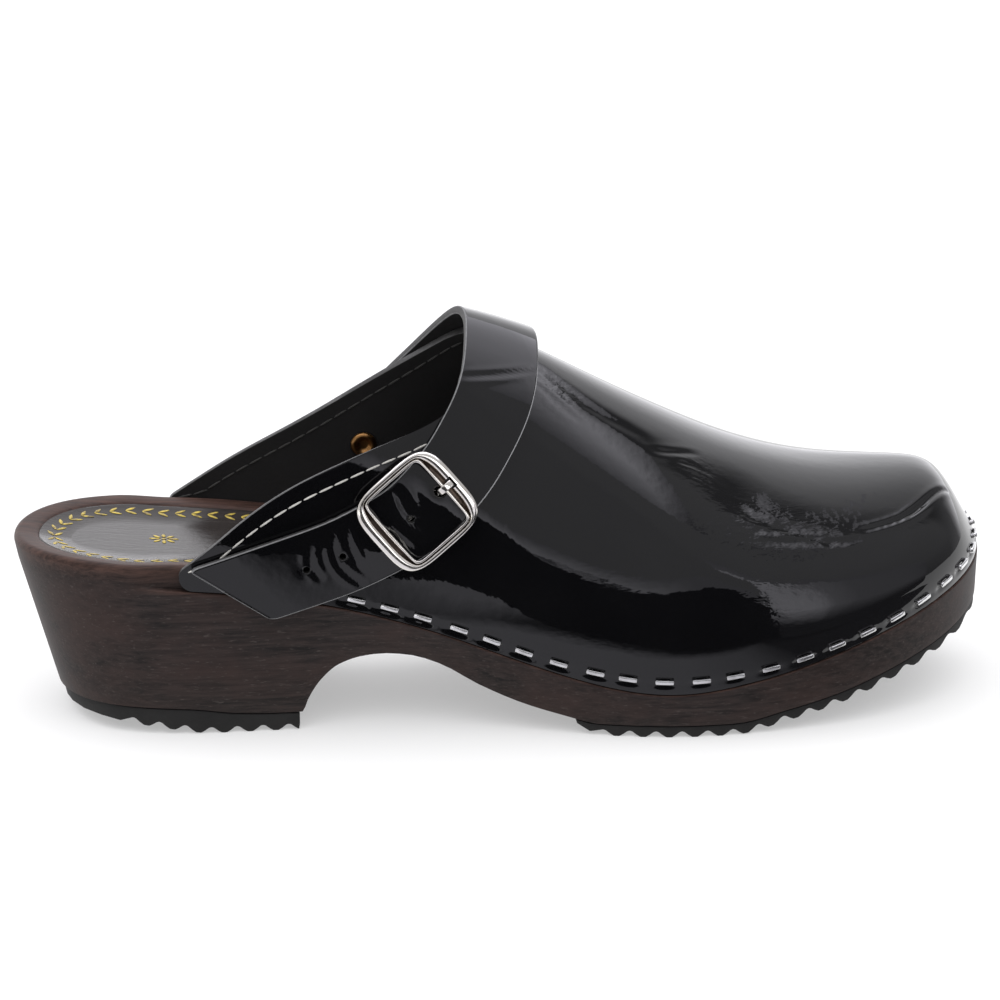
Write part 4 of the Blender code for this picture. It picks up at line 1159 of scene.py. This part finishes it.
def make_buckle(finishes):
    """A flat frame: an inner wire, a groove, and an outer band that is widest at the two ends."""
    count = len(BUCKLE_SECTION)

    def place_at(i, j):
        angle = math.tau * (i % BUCKLE_AROUND) / BUCKLE_AROUND
        inner, outer = frame_edge(angle, *BUCKLE_INNER), frame_edge(angle, *BUCKLE_OUTER)
        wire = min(BUCKLE_WIRE / (outer - inner).length, 1 - BUCKLE_LEAST_GROOVE - BUCKLE_BAND)
        band = 1 - BUCKLE_BAND
        zone, share, height = BUCKLE_SECTION[j % count]
        low, high = {"wire": (0.0, wire), "groove": (wire, band), "band": (band, 1.0)}[zone]
        spot = inner.lerp(outer, low + (high - low) * share)
        return Vector((*spot, height * BUCKLE_THICKNESS / 2)) * MM

    bm = bmesh.new()
    corners = sheet(bm, BUCKLE_AROUND, count, place_at)
    groove = {vert for (_, j), vert in corners.items() if j in BUCKLE_GROOVE}
    for face in bm.faces:
        face.material_index = int(groove.issuperset(face.verts))
    merge(bm)
    bmesh.ops.recalc_face_normals(bm, faces=bm.faces)
    bmesh.ops.transform(bm, matrix=buckle_matrix(), verts=bm.verts)
    made = piece("buckle", bm, finishes, ("buckle_frame",))
    slot = bmesh.new()
    bmesh.ops.create_cube(slot, size=MM)
    size = Vector((PIVOT_SLOT, PRONG_WIDTH + 4 * GAP, 2 * BUCKLE_THICKNESS))
    bmesh.ops.scale(slot, vec=size, verts=slot.verts)
    beside_bar = PIVOT - BUCKLE_MIDDLE - (PIVOT_BAR + PIVOT_SLOT) / 2
    middle = Vector((beside_bar, in_frame(PRONG_HOLE, 0.0).y, 0.0)) * MM
    bmesh.ops.transform(slot, matrix=buckle_matrix() @ Matrix.Translation(middle), verts=slot.verts)
    carve(made, slot)
    made.data.set_sharp_from_angle(angle=math.radians(METAL_SMOOTH_DEG))
    return made


def make_prong(finish):
    """A strip that hooks over the pivot bar, dives through a hole of the strap and lies flat under it."""
    side = PIVOT_BAR / 2 + GAP + PRONG_LOOSE + PRONG_THICKNESS / 2
    top = BUCKLE_THICKNESS / 2 + GAP + PRONG_THICKNESS / 2
    under = -STRAP_THICKNESS - GAP - PRONG_THICKNESS / 2
    turns = [math.radians(degrees) for degrees in PRONG_HOOK_DEGREES]
    hook = [(PIVOT - BUCKLE_MIDDLE + side * math.cos(angle), top * math.sin(angle)) for angle in turns]
    dive = [(0.0, -STRAP_THICKNESS / 3), (GAP, -STRAP_THICKNESS), (4 * GAP, under)]
    flat = [(PRONG_REACH * share, under) for share in PRONG_FLAT_SHARES]
    below = [in_frame(PRONG_HOLE + ahead, height) for ahead, height in dive + flat]
    route = hook + [(spot.x, spot.z) for spot in below]
    middle = in_frame(PRONG_HOLE, 0.0).y
    section = ((1, 1), (1, -1), (-1, -1), (-1, 1))

    def place_at(i, j):
        before, after = route[max(i - 1, 0)], route[min(i + 1, len(route) - 1)]
        step = Vector((after[0] - before[0], after[1] - before[1])).normalized()
        across, face = section[j % len(section)]
        normal = Vector((-step.y, step.x)) * face * PRONG_THICKNESS / 2
        along, height = route[i]
        return Vector((along + normal.x, middle + across * PRONG_WIDTH / 2, height + normal.y)) * MM

    bm = bmesh.new()
    sheet(bm, len(route) - 1, len(section), place_at)
    merge(bm)
    bmesh.ops.holes_fill(bm, edges=bm.edges, sides=len(section))
    bmesh.ops.recalc_face_normals(bm, faces=bm.faces)
    round_edges(bm, bm.edges, PRONG_ROUNDING, PRONG_CORNER_STEPS, PRONG_SHARP_DEG)
    bmesh.ops.transform(bm, matrix=buckle_matrix(), verts=bm.verts)
    return piece("prong", bm, (finish,), ("buckle_prong",), METAL_SMOOTH_DEG)


def make_rivet(finish):
    """A tubular rivet: a rolled cap on the strap and one inside the shoe, each hollow in its middle."""
    wall_inside = -(STRAP_THICKNESS + STRAP["lift"](RIVET_AT) + LEATHER)
    top, bottom = STRAP_CROWN + GAP, wall_inside - GAP
    outer = [(radius * RIVET_CAP, top + height * RIVET_HEAD) for radius, height in RIVET_PROFILE]
    inner = [(radius * RIVET_CAP, bottom - height * RIVET_HEAD) for radius, height in RIVET_PROFILE]
    shank = [(RIVET_CAP, top), (RIVET_SHANK, top), (RIVET_SHANK, bottom), (RIVET_CAP, bottom)]
    bm = bmesh.new()
    profile = outer + shank + inner[::-1]
    verts = [bm.verts.new(Vector((radius, 0.0, height)) * MM) for radius, height in profile]
    edges = [bm.edges.new(pair) for pair in zip(verts, verts[1:])]
    bmesh.ops.spin(
        bm,
        geom=verts + edges,
        cent=(0.0, 0.0, 0.0),
        axis=(0.0, 0.0, 1.0),
        angle=math.tau,
        steps=RIVET_SIDES,
        use_merge=True,
    )
    merge(bm)
    bmesh.ops.recalc_face_normals(bm, faces=bm.faces)
    bmesh.ops.transform(bm, matrix=strap_matrix(RIVET_AT, 0.0), verts=bm.verts)
    piece("rivet", bm, (finish,), ("strap_rivet",), METAL_SMOOTH_DEG)


def stitch_girth(u, side):
    """Girth of the stitch line, its distance below the collar's edge measured over the leather."""
    top, small = collar_girth(u, side), 1e-3
    step = upper_point(u, over(top, side)) - upper_point(u, over(top - small, side))
    share = STITCH_NEAR_EDGE + (1 - STITCH_NEAR_EDGE) * ramp(station_at(u), UPPER_STARTS, STITCH_FULL)
    return over(top - STITCH_BELOW * share / (step.length / small), side)


def make_stitches(name, finish, height):
    """A row of stitches along each side of the collar, at a height over the leather's face."""
    bm = bmesh.new()
    size = Vector((STITCH_LENGTH / 2, STITCH_THREAD / 2, STITCH_THREAD / STITCH_FLATNESS)) * MM
    turns = np.linspace(turn(STITCH_STARTS), turn(STITCH_LAST_STATION), LINE_SAMPLES)
    for side in (LATERAL, MEDIAL):
        line = [(float(u), stitch_girth(float(u), side)) for u in turns]
        points = [upper_point(*spot) for spot in line]
        for i, along in paced(points, STITCH_PITCH, STITCH_PITCH / 2):
            out = upper_normal(*line[i])
            spot = axes_at(place(*(points[i] + out * height)), along, out.cross(along).normalized(), out)
            made = bmesh.ops.create_icosphere(bm, subdivisions=2, radius=1.0)["verts"]
            for vert in made:
                vert.co.x = math.copysign(abs(vert.co.x) ** STITCH_BLUNTNESS, vert.co.x)
            bmesh.ops.scale(bm, vec=size, verts=made)
            bmesh.ops.transform(bm, matrix=spot, verts=made)
    piece(name, bm, (finish,))


def leaf(bm, matrix, long, wide):
    """A thin painted stroke, pointed at both ends."""
    made = bmesh.ops.create_circle(bm, cap_ends=True, segments=LEAF_SIDES, radius=1.0)["verts"]
    for vert in made:
        vert.co.y *= 1 - LEAF_POINT * vert.co.x**2
    bmesh.ops.scale(bm, vec=(long * MM / 2, wide * MM / 2, 1.0), verts=made)
    bmesh.ops.transform(bm, matrix=matrix, verts=made)


def make_seat_border(finish):
    """Slanted leaves in a row round the heel seat, and a rosette in its middle."""
    bm = bmesh.new()
    lift = 2 * PAINT_THICKNESS
    turns = np.linspace(0.0, turn(LEAF_LAST_STATION), LINE_SAMPLES)
    for side in (LATERAL, MEDIAL):
        points = [footbed_point(float(u), side, LEAF_INSET) / MM for u in turns]
        for i, along in paced(points, LEAF_STEP, LEAF_STEP / 2):
            inner = footbed_point(float(turns[i]), side, LEAF_INSET + LEAF_SIZE[1]) / MM
            out = along.cross(inner - points[i]).normalized() * -side
            spot = axes_at((points[i] + out * lift) * MM, along, out.cross(along).normalized(), out)
            for sign in (-1, 1):
                aside = Matrix.Translation((0.0, sign * LEAF_SIZE[1] * MM, 0.0))
                slanted = Matrix.Rotation(math.radians(sign * LEAF_SLANT_DEG), 4, "Z")
                leaf(bm, spot @ aside @ slanted, *LEAF_SIZE)
    u, small = turn(ROSETTE_STATION), 0.01
    middle = seat_middle(u)
    along, across = (seat_middle(u + small) - middle).normalized(), Vector((0.0, 1.0, 0.0))
    out = along.cross(across)
    spot = axes_at(middle + out * lift * MM, along, across, out)
    for k in range(ROSETTE_PETALS):
        spun = Matrix.Rotation(math.tau * k / ROSETTE_PETALS, 4, "Z")
        leaf(bm, spot @ spun @ Matrix.Translation((PETAL_MIDDLE * MM, 0.0, 0.0)), *PETAL_SIZE)
    leaf(bm, spot, ROSETTE_EYE, ROSETTE_EYE)
    made = piece("seat_border", bm, (finish,))
    made.modifiers.new("paint", "SOLIDIFY").thickness = PAINT_THICKNESS * MM


def add_camera():
    """The photo's view of the shoe."""
    azimuth, elevation = math.radians(CAMERA_AZIMUTH), math.radians(CAMERA_ELEVATION)
    level = math.cos(elevation)
    back = Vector((math.sin(azimuth) * level, -math.cos(azimuth) * level, math.sin(elevation)))
    data = bpy.data.cameras.new("camera")
    data.sensor_width = SENSOR
    data.lens = SENSOR * PIXELS_PER_MM / MM / PHOTO_PIXELS * CAMERA_DISTANCE
    data.clip_end = CAMERA_CLIP_END
    made = add_object("camera", data)
    made.location = CAMERA_TARGET + back * CAMERA_DISTANCE
    made.rotation_euler = (-back).to_track_quat("-Z", "Y").to_euler()
    bpy.context.scene.camera = made


# Studio. Brightness of the room by elevation (degrees over the horizon) in front, on the toe's side, in the
# corner and behind, and the shares of these by azimuth (degrees from straight in front, positive to the toe)
FLOOR_SIZE, FLOOR_GLOW = 8.0, 0.4
ROOM_FRONT = ((0, 0.47), (90, 0.5))
ROOM_TOE_SIDE = ((0, 0.26), (15, 0.35), (25, 0.44), (60, 0.55), (90, 0.5))
ROOM_CORNER = ((0, 0.4), (30, 0.35), (48, 0.2), (62, 0.2), (75, 0.4), (90, 0.5))
ROOM_BEHIND = ((0, 2.0), (15, 1.6), (25, 1.2), (40, 1.1), (55, 0.85), (70, 0.6), (90, 0.5))
TOE_SIDE_SHARE = ((-180, 0), (31, 0), (36, 1), (180, 1))
CORNER_SHARE = ((-180, 0), (102, 0), (110, 1), (180, 1))
BEHIND_SHARE = ((-180, 1), (-120, 1), (-80, 0), (122, 0), (142, 1), (180, 1))
ROOM_TINT, STUDIO_TINT = (1.0, 0.995, 1.03, 1.0), (1.0, 0.988, 1.07, 1.0)
LAMP_STRENGTH, LAMP_SPREAD_DEG, LAMP_TILT_DEG = 2.4, 100.0, 12.0
METAL_LAMP_AT, METAL_LAMP_SIZE, METAL_LAMP_WATTS = (-20, -420, 115), (600, 220), 0.8
METAL_LAMP_TILT_DEG = 90.0

# A screen beside the shoe that only gloss shows: rows (along, low edge, top edge, brightness, rim's)
SCREEN_AWAY, SCREEN_RIM, SCREEN_FADE, SCREEN_OVER = -120.0, 1.2, 16.0, 0.5
SCREEN_FOOT, SCREEN_FOOT_ENDS, SCREEN_DIM, SCREEN_BANDS = 24.0, 60.0, 0.1, 5
SCREEN_COLUMNS = (
    (-95, 38, 100, 0.02, 0.5),
    (-44, 32, 92, 0.02, 0.5),
    (-38, 18, 86, 0.02, 0.5),
    (-34, 12, 84, 0.02, 0.6),
    (-30, 4, 83, 0.02, 0.8),
    (-26, 0, 82, 0.02, 1.0),
    (-17, 0, 68, 0.02, 1.2),
    (-13, 0, 57, 0.02, 1.3),
    (-8, 0, 55, 0.02, 1.3),
    (5, 0, 55, 0.02, 1.2),
    (18, 0, 58, 0.02, 1.1),
    (30, 0, 62, 0.02, 1.0),
    (45, 0, 68, 0.02, 0.8),
    (60, 0, 77, 0.02, 0.6),
    (70, 0, 83, 0.02, 0.5),
    (78, 0, 91, 0.02, 0.5),
    (88, 0, 96, 0.02, 0.5),
    (96, 0, 88, 0.03, 0.5),
    (102, 0, 80, 0.03, 0.5),
    (105, 0, 140, 1.3, 0.6),
    (113, 0, 140, 1.7, 0.6),
    (122, 0, 140, 1.5, 0.5),
    (131, 0, 140, 0.8, 0.5),
    (152, 0, 140, 0.56, 0.5),
    (420, 0, 170, 0.36, 0.45),
)

# A soft light over the shoe that only gloss shows: its height, and brightness along and across
CEILING_HEIGHT = 250.0
CEILING_ALONG = ((-230, 1.0), (110, 1.0), (142, 1.4), (155, 0.75), (165, 0.38))
CEILING_ACROSS = ((-105, 0.65), (-70, 1.15), (-45, 1.55), (10, 1.9), (210, 1.9))

# The floor as gloss shows it: rows (along, brightness near the shoe, brightness further off)
MAT_HEIGHT, MAT_ROWS = 0.2, (-52.0, -96.0, -114.0, -420.0)
MAT_COLUMNS = (
    (-300, 0.75, 0.75),
    (-46, 0.75, 0.72),
    (-30, 0.75, 0.1),
    (48, 0.68, 0.05),
    (72, 0.5, 0.05),
    (90, 0.1, 0.05),
    (240, 0.1, 0.1),
)


def add_room():
    """A pale room: an even front, a dim side by the toe, a darker corner, and a white wall behind."""
    world = bpy.data.worlds.new("studio")
    bpy.context.scene.world = world
    world.use_nodes = True
    room = Nodes(world.node_tree)
    direction = room.add("ShaderNodeTexCoord").outputs["Generated"]
    parts = room.add("ShaderNodeSeparateXYZ", {"Vector": direction}).outputs
    forward = room.maths("MULTIPLY", parts["Y"], -1.0)
    azimuth = room.maths("DEGREES", room.maths("ARCTAN2", parts["X"], forward))
    elevation = room.maths("DEGREES", room.maths("ARCSINE", parts["Z"]))
    bright = room.lookup(elevation, ROOM_FRONT, 0.0, 90.0)
    walls = ((ROOM_TOE_SIDE, TOE_SIDE_SHARE), (ROOM_CORNER, CORNER_SHARE), (ROOM_BEHIND, BEHIND_SHARE))
    for stops, shares in walls:
        share = room.lookup(azimuth, shares, -180.0, 180.0)
        bright = room.mixed(share, bright, room.lookup(elevation, stops, 0.0, 90.0))
    background = world.node_tree.nodes["Background"]
    room.feed(background.inputs["Color"], ROOM_TINT)
    room.feed(background.inputs["Strength"], bright)


def stage_sheet(name, bm, finish):
    made = add_object(name, new_mesh(name, bm, (finish,)))
    made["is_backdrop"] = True
    return made


def glow(name, across, up, spot_at):
    """A sheet that only gloss shows; spot_at(column, row) gives a corner (mm) and its brightness."""
    bm = bmesh.new()
    bright = bm.verts.layers.float.new("bright")
    corners = sheet(bm, across, up, lambda i, j: Vector(spot_at(i, j)[0]) * MM)
    for spot, vert in corners.items():
        vert[bright] = spot_at(*spot)[1]
    finish = Finish(name, (0.0, 0.0, 0.0), 1.0, Specular_IOR_Level=0.0, Emission_Color=STUDIO_TINT)
    finish.set(Emission_Strength=finish.attribute("bright"))
    finish.material.cycles.emission_sampling = "NONE"
    made = stage_sheet(name, bm, finish.material)
    for ray in ("camera", "diffuse", "shadow", "transmission"):
        setattr(made, f"visible_{ray}", False)


def add_lamp(name, kind, energy, tilt_deg):
    lamp = bpy.data.lights.new(name, kind)
    lamp.energy = energy
    hung = add_object(name, lamp)
    hung.rotation_euler = (math.radians(tilt_deg), 0.0, 0.0)
    return hung


def add_stage():
    """A pale floor, a soft lamp overhead, and the sheets that the leather mirrors."""
    bm = bmesh.new()
    bmesh.ops.create_grid(bm, x_segments=1, y_segments=1, size=FLOOR_SIZE / 2)
    pale = Finish(
        "pale_floor",
        (0.6, 0.6, 0.6),
        roughness=0.9,
        Specular_IOR_Level=0.0,
        Emission_Color=(1.0, 1.0, 1.0),
        Emission_Strength=FLOOR_GLOW,
    )
    pale.set(Base_Color=pale.mixed(pale.noise(3.0), (0.59, 0.59, 0.59), (0.61, 0.61, 0.61)))
    stage_sheet("floor", bm, pale.material)

    def screen_at(i, j):
        along, low, top, bright, rim = SCREEN_COLUMNS[i]
        rows = (
            (low, min(bright, SCREEN_DIM)),
            (max(low, SCREEN_FOOT), min(bright, SCREEN_DIM)),
            (max(low, SCREEN_FOOT_ENDS), bright),
            (top, bright),
            (top + SCREEN_RIM, rim),
            (top + SCREEN_FADE, SCREEN_OVER),
        )
        return (along, SCREEN_AWAY, rows[j][0]), rows[j][1]

    def ceiling_at(i, j):
        along, share = CEILING_ALONG[i]
        across, bright = CEILING_ACROSS[j]
        return (along, across, CEILING_HEIGHT), bright * share

    def mat_at(i, j):
        along, near, far = MAT_COLUMNS[i]
        return (along, MAT_ROWS[j], MAT_HEIGHT), (near, near, far, far)[j]

    glow("screen", len(SCREEN_COLUMNS) - 1, SCREEN_BANDS, screen_at)
    glow("ceiling", len(CEILING_ALONG) - 1, len(CEILING_ACROSS) - 1, ceiling_at)
    glow("mat", len(MAT_COLUMNS) - 1, len(MAT_ROWS) - 1, mat_at)
    hung = add_lamp("lamp", "SUN", LAMP_STRENGTH, LAMP_TILT_DEG)
    hung.data.angle = math.radians(LAMP_SPREAD_DEG)
    hung.visible_glossy = False


def light_metal(pieces):
    """A soft lamp in front that lights the bright metal alone."""
    lit = bpy.data.collections.new("bright_metal")
    for made in pieces:
        lit.objects.link(made)
    hung = add_lamp("metal_lamp", "AREA", METAL_LAMP_WATTS, METAL_LAMP_TILT_DEG)
    hung.data.shape = "RECTANGLE"
    hung.data.size, hung.data.size_y = (side * MM for side in METAL_LAMP_SIZE)
    hung.location = Vector(METAL_LAMP_AT) * MM
    hung.visible_camera = False
    hung.light_linking.receiver_collection = lit


def main():
    add_camera()
    add_room()
    add_stage()
    bpy.context.scene.view_settings.view_transform = "Standard"
    leather = (
        patent_leather(),
        leather_back(),
        # The last colour of each is the pale band of a painted highlight on the strap's front edge
        fibrous("leather_cut_edge", (0.008, 0.008, 0.008), (0.05, 0.049, 0.048), (0.16, 0.16, 0.16)),
        # The corners' paler fibre colours are a painted highlight along the eased edges
        fibrous("leather_corner_painted_highlight", (0.07, 0.07, 0.072), (0.24, 0.24, 0.245), (0.3, 0.3, 0.31)),
    )
    rubber = black_rubber()
    chrome = plated("chrome", (0.94, 0.91, 0.86), (0.78, 0.73, 0.66), 0.08, 0.002)
    tarnished = plated("tarnished_groove", (0.11, 0.085, 0.07), (0.05, 0.04, 0.034), 0.35, 0.01)
    steel = plated("bright_steel", (0.78, 0.78, 0.78), (0.45, 0.44, 0.43), 0.2, 0.02)
    brass = plated("dulled_brass", (0.42, 0.22, 0.08), (0.12, 0.07, 0.035), 0.3, 0.03)
    make_wooden_sole(stained_wood())
    make_tread("front_tread", "front_outsole", rubber)
    make_tread("heel_tread", "heel_lift", rubber)
    make_upper(leather)
    make_strap(leather)
    make_rivet(brass)
    light_metal((make_buckle((chrome, tarnished)), make_prong(chrome), make_staples(steel)))
    pale = thread("pale_thread", (0.3, 0.29, 0.27), (0.75, 0.73, 0.69))
    make_stitches("collar_stitching", pale, STITCH_HEIGHT)
    dull = thread("dull_thread", (0.02, 0.02, 0.019), (0.05, 0.048, 0.045))
    make_stitches("lining_stitching", dull, -LEATHER - STITCH_HEIGHT)
    make_seat_border(worn_paint())


main()
boxes = {"cad": CAD_BOX, "visual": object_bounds()}
{name: [list(corner) for corner in box] for name, box in boxes.items()}
